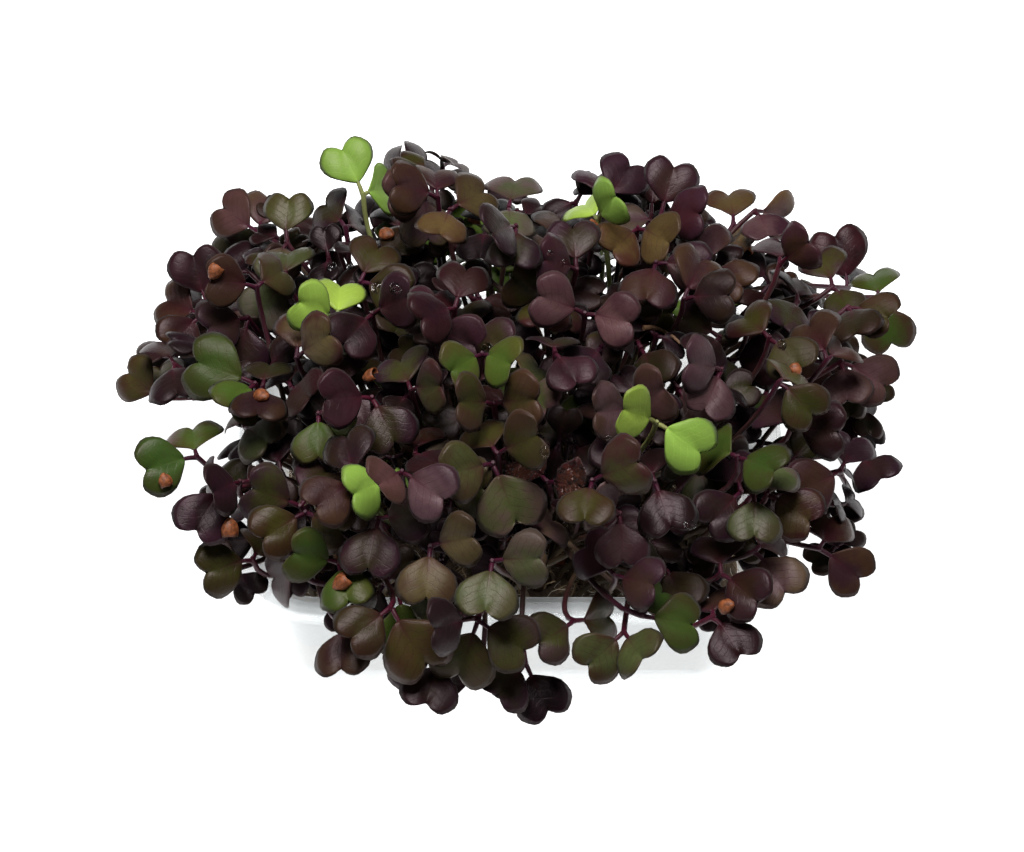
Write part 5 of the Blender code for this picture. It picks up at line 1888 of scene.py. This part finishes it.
class Paths:
    """Points and edges of stems, stalks and leaf places, with what each point carries."""

    def __init__(self):
        self.points = []
        self.edges = []
        self.rows = []

    def add(self, point, tint, blush, **carried):
        """Adds a point, and returns its number."""
        self.points.append(point)
        row = {"is_leaf": False, "leaf_turn": (0.0, 0.0, 0.0), "leaf_size": 1.0, "leaf_form": 0}
        row.update({"girth": 0.0, "stem_along": 0.0, "gloss": 0.0, "tint": tint, "blush": blush})
        row.update(carried)
        self.rows.append(row)
        return len(self.points) - 1

    def line(self, points, girths, tint, blush, start=0.0):
        """Adds a line of points with a girth at each."""
        last = None
        for i, (point, girth) in enumerate(zip(points, girths)):
            along = start + (1 - start) * i / (len(points) - 1)
            number = self.add(point, tint, blush, girth=girth, stem_along=along)
            if last is not None:
                self.edges.append((last, number))
            last = number

    def mesh(self, name):
        """The mesh that a shape tree reads."""
        mesh = bpy.data.meshes.new(name)
        mesh.from_pydata(self.points, self.edges, [])
        kinds = {
            "is_leaf": ("BOOLEAN", "value"),
            "leaf_turn": ("FLOAT_VECTOR", "vector"),
            "leaf_size": ("FLOAT", "value"),
            "leaf_form": ("INT", "value"),
            "girth": ("FLOAT", "value"),
            "stem_along": ("FLOAT", "value"),
            "gloss": ("FLOAT", "value"),
            "tint": ("FLOAT_COLOR", "color"),
            "blush": ("FLOAT_COLOR", "color"),
        }
        for key, (kind, field) in kinds.items():
            layer = mesh.attributes.new(key, kind, "POINT")
            for item, row in zip(layer.data, self.rows):
                setattr(item, field, row[key])
        return mesh


def add_seedling(paths, seedling, rng, painted_shade=1.0):
    """Adds the stem, the two stalks and the two leaf places of a seedling."""
    looks = bpy.context.scene.microgreens_leaves
    pose = seedling.pose
    top_colour, foot_colour = stem_colours(seedling.tint, looks)
    # painted shade: the darkening factor given for the piece darkens stems and leaves, on top of their
    # random variation
    vigour_and_painted_shade = rng.uniform(0.75, 1.25) * painted_shade
    stem_top = shaded(top_colour, vigour_and_painted_shade, rng.uniform(-0.1, 0.1))
    stem_foot = shaded(foot_colour, vigour_and_painted_shade * 1.15, 0.0)
    stem, girths = [], []
    for i in range(STEM_POINTS):
        share = i / (STEM_POINTS - 1)
        stem.append(bezier(pose.stem, share))
        radius = STEM_FOOT_RADIUS + (STEM_TOP_RADIUS - STEM_FOOT_RADIUS) * share
        girths.append(radius * STEM_SHARE * (1 - STEM_WAIST * math.sin(share * math.pi)))
    stem.append(pose.joint)
    girths.append(STEM_TOP_RADIUS * FORK_GIRTH)
    paths.line(stem, girths, stem_top, stem_foot)
    main = getattr(looks, seedling.tint)
    # painted shade for how deep the seedling stands in the mound
    above = pose.joint.z - mound_height(pose.joint)
    depth_shade = DEEP_SHADE + (1 - DEEP_SHADE) * share_between(above, *SHADE_LAYER)
    for leaf in pose.leaves:
        brightness = rng.uniform(*LEAF_BRIGHTNESS[seedling.tint in DARK_TINTS])
        brightness = brightness * painted_shade * depth_shade
        warmth = rng.uniform(-0.10, 0.12)
        share = PALE_BLUSH_SHARE if seedling.tint == "lime" else rng.uniform(*BLUSH_SHARE)
        blush = blended(main, getattr(looks, rng.choice(BLUSHES[seedling.tint])), share)
        inner = shaded(main, brightness, warmth)
        outer = shaded(blush, brightness * rng.uniform(0.8, 1.1), warmth)
        if seedling.tint in DARK_TINTS:
            inner, outer = outer, inner
        base = pose.joint + leaf.forward * (STALK_LENGTH * leaf.size)
        end = base + leaf.forward * (LEAF_LENGTH * leaf.size * STALK_UNDER)
        start = pose.joint - pose.top * FORK_BELOW
        bend = pose.joint + pose.top * FORK_ABOVE + leaf.forward * FORK_ABOVE
        stalk = []
        for i in range(STALK_POINTS):
            along = i / (STALK_POINTS - 1)
            point = start * (1 - along) ** 2 + bend * (2 * along * (1 - along)) + end * along**2
            stalk.append(point - leaf.up * ((0.50 + 0.67 * along) * MM * leaf.size * along))
        paths.line(stalk, STALK_RADII, stem_top, stem_top, 0.9)
        turn = Matrix((leaf.forward, leaf.side, leaf.up)).transposed().to_euler("XYZ")
        if seedling.tint == "russet":
            form = PLAIN_FORMS + rng.randrange(CRINKLED_FORMS)
            gloss = CRINKLED_GLOSS
        else:
            form = rng.randrange(PLAIN_FORMS)
            gloss = rng.uniform(0.0, 0.5)
        paths.add(
            base, inner, outer, is_leaf=True, leaf_turn=tuple(turn), leaf_size=leaf.size,
            leaf_form=form, gloss=gloss,
        )


def seedling_piece(name, seedlings, leaf, plug, rng, painted_shade=1.0):
    """One piece with the stems, stalks and leaves of some seedlings, and their plug if they have one."""
    paths = Paths()
    for seedling in seedlings:
        add_seedling(paths, seedling, rng, painted_shade)
    looks = bpy.context.scene.microgreens_leaves
    inputs = {
        "Leaf forms": leaf_form_collection(),
        "Plug": plug,
        "Leaf finish": leaf_finish(leaf),
        "Stem finish": stem_finish(),
        "Stem sides": looks.stem_sides,
    }
    return shaped(name, paths.mesh(name + "_paths"), seedling_tree(), inputs)


def plug_form(hole):
    """Root ball of a tuft: a rough, slightly domed plug."""
    bm = bmesh.new()
    centre = HOLE_CENTRES[hole]
    rings = []
    for row in range(PLUG_ROWS + 1):
        share = row / PLUG_ROWS
        z = PLUG_BOTTOM + PLUG_HEIGHT * share
        ring = []
        for side in range(PLUG_SIDES):
            angle = math.tau * side / PLUG_SIDES
            way = Vector((math.cos(angle), math.sin(angle), 0))
            lump = noise.noise((centre + way * 6 * MM + UPWARD * z) * 330.0)
            round_off = 1 - PLUG_SHOULDER * (2 * share - 1) ** 6
            radius = PLUG_RADIUS * (0.95 + PLUG_LUMPS * lump) * round_off
            ring.append(bm.verts.new(centre + way * radius + UPWARD * z))
        rings.append(ring)
    walls_between(bm, rings)
    for ring, rise in ((rings[0], 0.0), (rings[-1], PLUG_DOME)):
        middle = sum((v.co for v in ring), Vector()) / PLUG_SIDES + UPWARD * rise
        inner = [bm.verts.new(middle.lerp(v.co, 0.55) + UPWARD * rise * 0.6) for v in ring]
        pole = bm.verts.new(middle)
        for i in range(PLUG_SIDES):
            j = (i + 1) % PLUG_SIDES
            bm.faces.new((ring[i], ring[j], inner[j], inner[i]))
            bm.faces.new((inner[i], inner[j], pole))
    bmesh.ops.recalc_face_normals(bm, faces=bm.faces)
    plug = hidden_form(f"plug_{hole}", bm)
    plug.data.materials.append(plug_finish())
    return plug


# Building the pieces


# painted shade: colour factors for the seedlings glimpsed between the tufts and for the dark undergrowth
BETWEEN_SHADE = 0.85
UNDERGROWTH_PIECES = 6
UNDERGROWTH_SHADE = 0.62
PUNNET_STEPS = 18
ROUNDING_ANGLE = math.radians(28)
MAT_VOXEL = 0.9 * MM
MAT_ROUGHNESS = 0.38 * MM
THREAD_STEPS = 8
THREAD_RELIEF = 0.3 * MM


def band_of(seedling):
    """Which of the undergrowth's pieces a seedling goes with, by where it stands along X."""
    share = (seedling.pose.joint.x + MOUND_HALF_LENGTH) / (2 * MOUND_HALF_LENGTH)
    return min(max(int(share * UNDERGROWTH_PIECES), 0), UNDERGROWTH_PIECES - 1)


def build_tufts():
    """A finer piece for each tuft of the CAD, with its leaf colour's material slot."""
    planted = growth().planted
    for hole in sorted({seedling.hole for seedling in planted}):
        rng = random.Random(SEED * 1000 + hole)
        seedlings = [seedling for seedling in planted if seedling.hole == hole]
        slot = "leaf_" + TUFT_COLOUR[seedlings[0].tint]
        plug = plug_form(hole)
        name = f"seedlings_{hole // HOLE_COLUMNS + 1}_{hole % HOLE_COLUMNS + 1}"
        piece = seedling_piece(name, seedlings, slot, plug, rng)
        bpy.data.objects.remove(plug)
        dress(piece, (tuft_name(hole),))


def build_between():
    """The seedlings glimpsed between the tufts, one piece for each leaf colour, their colours a little
    darkened as painted shade.
    """
    for colour in ("violet", "umber", "olive", "green"):
        seedlings = [s for s in growth().glimpsed if TUFT_COLOUR[s.tint] == colour]
        rng = random.Random(SEED + len(colour))
        slot = "leaf_" + colour
        dress(seedling_piece("between_" + colour, seedlings, slot, None, rng, BETWEEN_SHADE))


def build_undergrowth():
    """The seedlings deeper in the mound: the dark ones in bands along the punnet, darkened further as
    painted shade, then the pale ones.
    """
    dark = [s for s in growth().undergrowth if s.tint != "lime"]
    for band in range(UNDERGROWTH_PIECES):
        seedlings = [s for s in dark if band_of(s) == band]
        rng = random.Random(SEED * 100 + band)
        name = f"undergrowth_{band + 1}"
        piece = seedling_piece(name, seedlings, "leaf_violet", None, rng, UNDERGROWTH_SHADE)
        dress(piece)
    pale = [s for s in growth().undergrowth if s.tint == "lime"]
    piece = seedling_piece("undergrowth_pale", pale, "leaf_green", None, random.Random(SEED), 1.0)
    dress(piece)


def finished_mesh(maker, name):
    """The mesh of an object with its modifiers applied. The object goes."""
    depsgraph = bpy.context.evaluated_depsgraph_get()
    mesh = bpy.data.meshes.new_from_object(maker.evaluated_get(depsgraph))
    bpy.data.objects.remove(maker)
    mesh.name = name
    return mesh


def build_punnet():
    """The clear punnet, with its edges rounded as moulding leaves them."""
    looks = bpy.context.scene.microgreens_punnet
    maker = placed_piece("punnet_maker", punnet_mesh("punnet", PUNNET_STEPS))
    bevel = maker.modifiers.new("rounding", "BEVEL")
    bevel.width = looks.rounding
    bevel.segments = 3
    bevel.limit_method = "ANGLE"
    bevel.angle_limit = ROUNDING_ANGLE
    bevel.harden_normals = False
    mesh = finished_mesh(maker, "punnet")
    mesh.shade_smooth()
    mesh.set_sharp_from_angle(angle=TRAY_SHARP_ANGLE)
    mesh.materials.clear()
    mesh.materials.append(punnet_finish())
    dress(placed_piece("punnet", mesh), ("tray",))


def build_mat():
    """The felted mat with its holes, its surface roughened as loose fibre is."""
    maker = cut_mat("mat_maker")
    cutter = maker.modifiers["holes"].object
    remesh = maker.modifiers.new("felt", "REMESH")
    remesh.mode = "VOXEL"
    remesh.voxel_size = MAT_VOXEL
    mesh = finished_mesh(maker, "fibre_mat")
    bpy.data.objects.remove(cutter)
    shifts = []
    for vert in mesh.vertices:
        lump = noise.noise(vert.co * 420.0) * 0.6 + noise.noise(vert.co * 1300.0) * 0.4
        shifts.append(vert.co + vert.normal * (MAT_ROUGHNESS * (lump - 0.35)))
    for vert, spot in zip(mesh.vertices, shifts):
        vert.co = spot
    mesh.shade_smooth()
    mesh.materials.clear()
    mesh.materials.append(mat_finish())
    dress(placed_piece("fibre_mat", mesh), ("growing_mat",))


def build_threads():
    """Loose fibres over the mat, and fine white roots along its sides and its underside."""
    looks = bpy.context.scene.microgreens_mat
    fibre = ("fibre", looks.fibre_length, 0.11 * MM, 1.3 * MM, 0.5 * MM, 5)
    root = ("root", looks.root_length, 0.09 * MM, 2.2 * MM, 0.1 * MM, 7)
    for name, form, colour, spread, density, seed, lift in (
        ("mat_fibres", fibre, looks.fibre, 0.7, looks.fibre_density, 5, 0.0),
        ("fine_roots", root, looks.root, 0.3, looks.root_density, 8, 0.12 * MM),
    ):
        thread = thread_form(*form)
        source = mat_block(name + "_ground", THREAD_STEPS, lift)
        inputs = {
            "Thread": thread,
            "Finish": thread_finish(name, colour, spread),
            "Density": density,
            "Seed": seed,
        }
        piece = shaped(name, source, scatter_tree(), inputs)
        bpy.data.objects.remove(thread)
        press_in(piece.data)
        dress(piece)


def press_in(mesh):
    """Bends the ends of threads that would stick out through the punnet back along its wall."""
    inset = RIM_WIDTH + WALL_DRAFT + WALL_THICKNESS + MAT_FIT - THREAD_RELIEF
    radius = RIM_CORNER_RADIUS - inset
    straight_x = TRAY_LENGTH / 2 - inset - radius
    straight_y = TRAY_WIDTH / 2 - inset - radius
    for vert in mesh.vertices:
        centre_x = min(max(vert.co.x, -straight_x), straight_x)
        centre_y = min(max(vert.co.y, -straight_y), straight_y)
        away = Vector((vert.co.x - centre_x, vert.co.y - centre_y))
        if away.length > radius:
            away *= radius / away.length
        low = MAT_BOTTOM - THREAD_RELIEF
        vert.co = (centre_x + away.x, centre_y + away.y, max(vert.co.z, low))


# Where the picture shows hulls and drops, in pixels, with the size of each
HULL_PIXELS = (
    (215, 270, 1.1), (387, 236, 1.1), (475, 222, 0.9), (597, 225, 0.9), (373, 377, 1.1),
    (795, 370, 0.9), (165, 482, 1.0), (190, 483, 1.0), (228, 530, 1.3), (345, 583, 1.3),
    (728, 607, 1.1), (748, 252, 0.8), (262, 398, 1.1),
)
DROP_PIXELS = (
    (332, 267, 1.1), (378, 287, 1.5), (396, 288, 1.3), (768, 333, 1.2), (782, 345, 1.2),
    (487, 350, 1.6), (545, 452, 1.3), (350, 268, 0.9), (690, 525, 1.2), (550, 253, 0.8),
    (563, 262, 0.9), (607, 438, 0.9),
)
STALK_PIXELS = ((643, 330), (650, 326), (658, 326), (666, 330), (673, 337), (679, 346))
MAT_HULLS = 26
HULL_RISE = 0.75 * MM
DROP_RISE = 0.12 * MM
STALK_RISE = 0.9 * MM
STALK_GIRTH = 0.75 * MM
STALK_SIDES = 10


def picture_hit(pixel):
    """Where the line of sight through a pixel meets the finished pieces, and the way out there."""
    bpy.context.view_layer.update()
    depsgraph = bpy.context.evaluated_depsgraph_get()
    direction = (picture_point(pixel) - EYE).normalized()
    found, place, normal, *_ = bpy.context.scene.ray_cast(depsgraph, EYE, direction)
    if not found:
        return None
    return place, normal if normal.dot(direction) < 0 else -normal


def point_mesh(name, rows):
    """Points with a turn and a stretch each, for a shape tree."""
    mesh = bpy.data.meshes.new(name)
    mesh.from_pydata([row[0] for row in rows], [], [])
    for key, column in (("turn", 1), ("stretch", 2)):
        layer = mesh.attributes.new(key, "FLOAT_VECTOR", "POINT")
        for item, row in zip(layer.data, rows):
            item.vector = row[column]
    return mesh


def standing(normal, spin):
    """Turn that stands a form's Z axis on a surface, spun about it."""
    upright = normal.to_track_quat("Z", "Y").to_matrix()
    return tuple((upright @ Matrix.Rotation(spin, 3, "Z")).to_euler("XYZ"))


def stuck_on(pixels, size, rise):
    """Place, way out and scale of each thing that the picture shows stuck to a leaf."""
    for x, y, share_of_size in pixels:
        hit = picture_hit((x, y))
        if hit is not None:
            scale = share_of_size * size
            yield hit[0] + hit[1] * (rise * scale), hit[1], scale


def build_hulls():
    """Seed hulls stuck to the leaves, and those left lying on the mat."""
    looks = bpy.context.scene.microgreens_extras
    rng = random.Random(SEED + 3)
    rows = []
    for place, normal, scale in stuck_on(HULL_PIXELS, looks.hull_size, HULL_RISE):
        rows.append((place, standing(normal, rng.uniform(0, math.tau)), (scale, scale, scale)))
    reach_x = HOLE_COLUMNS / 2 * COLUMN_SPACING
    reach_y = HOLE_ROWS / 2 * ROW_SPACING
    for _ in range(MAT_HULLS):
        column = rng.randrange(HOLE_COLUMNS - 1) + 1
        x = column * COLUMN_SPACING - reach_x + rng.uniform(-2, 2) * MM
        place = Vector((x, rng.uniform(-reach_y, reach_y), MAT_TOP + 1.0 * MM))
        scale = rng.uniform(0.8, 1.1) * looks.hull_size
        rows.append((place, standing(UPWARD, rng.uniform(0, math.tau)), (scale, scale, scale)))
    place_copies("seed_hulls", rows, hull_form(), hull_finish())


def build_drops():
    """Water drops on the leaves."""
    looks = bpy.context.scene.microgreens_extras
    rng = random.Random(SEED + 4)
    rows = []
    for place, normal, scale in stuck_on(DROP_PIXELS, looks.drop_size, DROP_RISE):
        stretch = (scale * rng.uniform(1.0, 1.3), scale, scale)
        rows.append((place, standing(normal, rng.uniform(0, math.tau)), stretch))
    place_copies("water_drops", rows, drop_form(), water_finish())


def place_copies(name, rows, form, material):
    """One piece with a copy of a form at each place."""
    inputs = {"Form": form, "Finish": material}
    piece = shaped(name, point_mesh(name + "_places", rows), placed_tree(), inputs)
    bpy.data.objects.remove(form)
    dress(piece)


def build_stalk():
    """A withered, curved stalk lying across the leaves."""
    points = []
    for pixel in STALK_PIXELS:
        hit = picture_hit(pixel)
        if hit is not None:
            points.append(hit[0] + hit[1] * STALK_RISE)
    if len(points) < 2:
        raise RuntimeError("no leaves for the withered stalk to lie on")
    level = [point.copy() for point in points]
    for _ in range(3):
        for i in range(1, len(level) - 1):
            level[i] = (level[i - 1] + level[i] * 2 + level[i + 1]) / 4
            level[i] += VIEW_BACK * max((points[i] - level[i]).dot(VIEW_BACK), 0.0)
    girths = [STALK_GIRTH * (1 - 0.45 * i / (len(level) - 1)) for i in range(len(level))]
    paths = Paths()
    brown = (0.2, 0.1, 0.05, 1.0)
    paths.line(level, girths, brown, brown)
    inputs = {
        "Leaf forms": leaf_form_collection(),
        "Leaf finish": dry_finish(),
        "Stem finish": dry_finish(),
        "Stem sides": STALK_SIDES,
    }
    dress(shaped("withered_stalk", paths.mesh("stalk_path"), seedling_tree(), inputs))


# Stage


STRIP_REACH = 0.7
STRIP_HEIGHT = 0.10
STRIP_SIZE = (0.8, 0.12)
SIDE_BOX = 0.6
SENSOR_WIDTH = 36.0  # millimetres
PICTURE_WIDTH = 1024  # pixels


def area_light(name, place, aim, width, depth, power, colour):
    """A soft box that shines from a place towards a point."""
    light = bpy.data.lights.new(name, "AREA")
    light.shape = "RECTANGLE"
    light.size = width
    light.size_y = depth
    light.energy = power
    light.color = colour
    lamp = bpy.data.objects.new(name, light)
    bpy.context.scene.collection.objects.link(lamp)
    lamp.location = place
    lamp.rotation_euler = (Vector(aim) - Vector(place)).to_track_quat("-Z", "Y").to_euler()
    return lamp


def floor_finish(looks):
    """Plain pale floor that glows a little itself, so that shadows on it stay soft."""

    def wires(n):
        fleck = n.speckle(n.position(), 40.0, 2.0, 0.5)
        body = n.mix(fleck, rgba(looks.floor, 0.985), rgba(looks.floor))
        return {"Base Color": body}

    values = {
        "Roughness": 0.9,
        "Specular IOR Level": 0.2,
        "Emission Color": rgba(WHITE),
        "Emission Strength": looks.floor_glow,
    }
    return finish("studio_floor", values, wires)


def build_stage():
    """Pale floor, soft light, low strips for the punnet and its mat, and the picture's camera."""
    looks = bpy.context.scene.microgreens_stage
    bm = bmesh.new()
    bmesh.ops.create_grid(bm, x_segments=2, y_segments=2, size=looks.floor_size / 2)
    mesh = mesh_of("studio_floor", bm)
    mesh.materials.append(floor_finish(looks))
    floor = placed_piece("studio_floor", mesh)
    floor.location = (0, 0, -0.1 * MM)
    floor.visible_diffuse = False
    middle = (0, 0, 0.07)
    box = looks.box_size
    area_light("top_box", (-0.05, 0.12, 0.95), middle, box, box * 0.75, looks.key_power, WHITE)
    side = looks.fill_power
    area_light("left_box", (-1.0, -0.35, 0.65), middle, SIDE_BOX, SIDE_BOX, side, (0.96, 0.98, 1))
    area_light("right_box", (1.0, -0.25, 0.75), middle, SIDE_BOX, SIDE_BOX, side, (1, 0.98, 0.96))
    lit = bpy.data.collections.new("lit_by_low_strips")
    for name in ("punnet", "fibre_mat", "mat_fibres", "fine_roots"):
        lit.objects.link(bpy.data.objects[name])
    for number, (x, y) in enumerate(((0, -1), (1, 0), (0, 1), (-1, 0))):
        place = (STRIP_REACH * x, STRIP_REACH * y, STRIP_HEIGHT)
        name = f"low_strip_{number + 1}"
        lamp = area_light(name, place, (0, 0, 0.02), *STRIP_SIZE, looks.strip_power, WHITE)
        lamp.light_linking.receiver_collection = lit
    world = bpy.data.worlds.new("studio")
    world.use_nodes = True
    nodes = Nodes(world.node_tree)
    sky = world.node_tree.nodes["Background"]
    nodes.feed(sky, "Color", rgba(WHITE))
    nodes.feed(sky, "Strength", looks.sky)
    bpy.context.scene.world = world
    bpy.context.scene.view_settings.view_transform = "Standard"
    bpy.context.scene.view_settings.look = "None"
    camera = bpy.data.objects.new("camera", bpy.data.cameras.new("camera"))
    bpy.context.scene.collection.objects.link(camera)
    turn = Matrix((VIEW_RIGHT, VIEW_UP, VIEW_BACK)).transposed().to_4x4()
    camera.matrix_world = Matrix.Translation(EYE) @ turn
    camera.data.sensor_width = SENSOR_WIDTH
    camera.data.lens = SENSOR_WIDTH * VIEW_DISTANCE / (PICTURE_WIDTH * PIXEL)
    camera.data.clip_start = 0.01
    bpy.context.scene.camera = camera


# What a user would change


def colour(name, description, default):
    """A colour property."""
    return bpy.props.FloatVectorProperty(
        name=name, description=description, default=default, subtype="COLOR", size=3, min=0, max=1
    )


def share(name, description, default, most=1.0):
    """A plain number from 0."""
    return bpy.props.FloatProperty(
        name=name, description=description, default=default, min=0.0, max=most, subtype="FACTOR"
    )


def amount(name, description, default, most):
    """A number from 0 with no unit of its own."""
    return bpy.props.FloatProperty(
        name=name, description=description, default=default, min=0.0, max=most
    )


def length(name, description, default, least, most):
    """A length in metres."""
    return bpy.props.FloatProperty(
        name=name, description=description, default=default, min=least, max=most,
        precision=5, unit="LENGTH",
    )


class MicrogreensLeaves(bpy.types.PropertyGroup):
    """Colours and surface of the seed leaves and stems."""

    violet: colour("Violet", "Upper side of the violet leaves", (0.038, 0.0115, 0.020))
    black: colour("Black", "Upper side of the darkest leaves", (0.016, 0.006, 0.007))
    maroon: colour("Maroon", "Upper side of the maroon leaves", (0.046, 0.009, 0.011))
    mauve: colour("Mauve", "Upper side of the greyish leaves", (0.122, 0.060, 0.065))
    umber: colour("Umber", "Upper side of the brown leaves", (0.052, 0.025, 0.012))
    tan: colour("Tan", "Upper side of the pale brown leaves", (0.115, 0.080, 0.028))
    russet: colour("Russet", "The crinkled red-brown leaves", (0.092, 0.030, 0.016))
    olive: colour("Olive", "Upper side of the olive leaves", (0.056, 0.054, 0.010))
    sage: colour("Sage", "Upper side of the grey-green leaves", (0.085, 0.098, 0.030))
    green: colour("Green", "Upper side of the green leaves", (0.055, 0.100, 0.014))
    lime: colour("Lime", "The few bright leaves", (0.340, 0.530, 0.080))
    vein: colour("Veins", "Midrib and side veins", (0.060, 0.009, 0.018))
    rim: colour("Rim", "Thin pale rim of each leaf", (0.150, 0.105, 0.085))
    underside: colour("Underside", "What the undersides tend to", (0.085, 0.040, 0.045))
    stem: colour("Stems", "Magenta stems and stalks", (0.064, 0.0055, 0.020))
    pale_stem: colour("Pale stems", "Foot of a stem, and the stems of lime leaves", (0.30, 0.34, 0.12))
    vein_strength: share("Side veins", "How much the side veins show", 0.36)
    rim_strength: share("Rim", "How much the pale rim shows", 0.30)
    roughness: share("Roughness", "Roughness of the waxy leaf surface", 0.46)
    stem_sides: bpy.props.IntProperty(
        name="Stem sides", description="Sides of a stem's round section", default=8, min=5, max=16
    )


class MicrogreensMat(bpy.types.PropertyGroup):
    """Growing mat, its fibres and the roots in it."""

    medium: colour("Medium", "Damp plant fibre of the mat", (0.190, 0.125, 0.075))
    fibre: colour("Fibres", "Loose fibres on the mat", (0.330, 0.240, 0.140))
    root: colour("Roots", "Fine roots", (0.720, 0.660, 0.560))
    fibre_length: length("Fibre length", "Length of a loose fibre", 0.007, 0.002, 0.02)
    root_length: length("Root length", "Length of a fine root", 0.012, 0.003, 0.03)
    fibre_density: amount("Fibre density", "Fibres on a square metre", 90000, 200000)
    root_density: amount("Root density", "Fine roots on a square metre", 42000, 90000)


class MicrogreensPunnet(bpy.types.PropertyGroup):
    """Clear punnet."""

    plastic: colour("Plastic", "What the plastic reflects", (0.86, 0.89, 0.90))
    through: colour("Through", "What the plastic lets through", (0.985, 0.99, 0.99))
    haze: share("Haze", "How much of the plastic shows when seen straight on", 0.27)
    rounding: length("Rounding", "Radius along the moulded edges", 0.00028, 0.0001, 0.0005)


class MicrogreensExtras(bpy.types.PropertyGroup):
    """Seed hulls and water drops."""

    hull: colour("Hulls", "Orange-brown seed hulls", (0.34, 0.098, 0.030))
    hull_size: share("Hull size", "Size of the hulls", 1.15, 3.0)
    drop_size: share("Drop size", "Size of the drops", 1.2, 3.0)


class MicrogreensStage(bpy.types.PropertyGroup):
    """Floor, lights and surroundings."""

    floor: colour("Floor", "Pale floor", (0.90, 0.90, 0.90))
    floor_glow: share("Floor glow", "Light of the floor itself", 0.95, 4.0)
    floor_size: length("Floor size", "Side of the floor", 24.0, 1.0, 60.0)
    box_size: length("Box size", "Width of the soft box above", 0.55, 0.1, 3.0)
    key_power: amount("Box power", "Power of the soft box above", 8.6, 500.0)
    fill_power: amount("Side power", "Power of each side box", 0.8, 500.0)
    strip_power: amount("Strip power", "Power of each low strip around the punnet", 7.0, 500.0)
    sky: share("Surroundings", "Light from all round", 0.03, 4.0)


# Operators and panel


class MICROGREENS_OT_punnet(bpy.types.Operator):
    """Builds the clear punnet"""

    bl_idname = "microgreens.punnet"
    bl_label = "Clear Punnet"

    def execute(self, context):
        build_punnet()
        return {"FINISHED"}


class MICROGREENS_OT_mat(bpy.types.Operator):
    """Builds the felted growing mat with its holes"""

    bl_idname = "microgreens.mat"
    bl_label = "Growing Mat"

    def execute(self, context):
        build_mat()
        return {"FINISHED"}


class MICROGREENS_OT_threads(bpy.types.Operator):
    """Strews fibres and fine roots over the mat"""

    bl_idname = "microgreens.threads"
    bl_label = "Fibres and Roots"

    def execute(self, context):
        build_threads()
        return {"FINISHED"}


class MICROGREENS_OT_tufts(bpy.types.Operator):
    """Builds the tufts of seedlings, each on its root plug"""

    bl_idname = "microgreens.tufts"
    bl_label = "Tufts"

    def execute(self, context):
        build_tufts()
        return {"FINISHED"}


class MICROGREENS_OT_between(bpy.types.Operator):
    """Builds the seedlings glimpsed between the tufts"""

    bl_idname = "microgreens.between"
    bl_label = "Seedlings Between"

    def execute(self, context):
        build_between()
        return {"FINISHED"}


class MICROGREENS_OT_undergrowth(bpy.types.Operator):
    """Builds the dark seedlings deeper in the mound"""

    bl_idname = "microgreens.undergrowth"
    bl_label = "Undergrowth"

    def execute(self, context):
        build_undergrowth()
        return {"FINISHED"}


class MICROGREENS_OT_hulls(bpy.types.Operator):
    """Sets seed hulls on the leaves and the mat"""

    bl_idname = "microgreens.hulls"
    bl_label = "Seed Hulls"

    def execute(self, context):
        build_hulls()
        return {"FINISHED"}


class MICROGREENS_OT_stalk(bpy.types.Operator):
    """Lays the withered stalk across the leaves"""

    bl_idname = "microgreens.stalk"
    bl_label = "Withered Stalk"

    def execute(self, context):
        build_stalk()
        return {"FINISHED"}


class MICROGREENS_OT_drops(bpy.types.Operator):
    """Sets water drops on the leaves"""

    bl_idname = "microgreens.drops"
    bl_label = "Water Drops"

    def execute(self, context):
        build_drops()
        return {"FINISHED"}


class MICROGREENS_OT_stage(bpy.types.Operator):
    """Lays the floor, and sets up the light and the camera"""

    bl_idname = "microgreens.stage"
    bl_label = "Stage"

    def execute(self, context):
        build_stage()
        return {"FINISHED"}


OPERATORS = (
    MICROGREENS_OT_punnet,
    MICROGREENS_OT_mat,
    MICROGREENS_OT_threads,
    MICROGREENS_OT_tufts,
    MICROGREENS_OT_between,
    MICROGREENS_OT_undergrowth,
    MICROGREENS_OT_stalk,
    MICROGREENS_OT_hulls,
    MICROGREENS_OT_drops,
    MICROGREENS_OT_stage,
)
SETTINGS = {
    "microgreens_leaves": MicrogreensLeaves,
    "microgreens_mat": MicrogreensMat,
    "microgreens_punnet": MicrogreensPunnet,
    "microgreens_extras": MicrogreensExtras,
    "microgreens_stage": MicrogreensStage,
}


class MICROGREENS_PT_tray(bpy.types.Panel):
    """Sizes, colours and builders of the microgreens tray"""

    bl_idname = "MICROGREENS_PT_tray"
    bl_label = "Radish Microgreens Tray"
    bl_space_type = "VIEW_3D"
    bl_region_type = "UI"
    bl_category = "Microgreens"

    def draw(self, context):
        for operator in OPERATORS:
            self.layout.operator(operator.bl_idname)
        for name in SETTINGS:
            box = self.layout.box()
            group = getattr(context.scene, name)
            for key in group.bl_rna.properties.keys():
                if key not in ("name", "rna_type"):
                    box.prop(group, key)


def register():
    """Registers the settings, the operators and the panel."""
    for name, group in SETTINGS.items():
        bpy.utils.register_class(group)
        setattr(bpy.types.Scene, name, bpy.props.PointerProperty(type=group))
    for kind in OPERATORS + (MICROGREENS_PT_tray,):
        bpy.utils.register_class(kind)


def unregister():
    """Takes them all out again."""
    for kind in (MICROGREENS_PT_tray,) + OPERATORS[::-1]:
        bpy.utils.unregister_class(kind)
    for name, group in SETTINGS.items():
        delattr(bpy.types.Scene, name)
        bpy.utils.unregister_class(group)


def main():
    """Registers the settings, and builds everything."""
    register()
    for operator in OPERATORS:
        getattr(bpy.ops.microgreens, operator.bl_idname.split(".")[1])()
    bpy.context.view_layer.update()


if __name__ == "__main__":
    main()
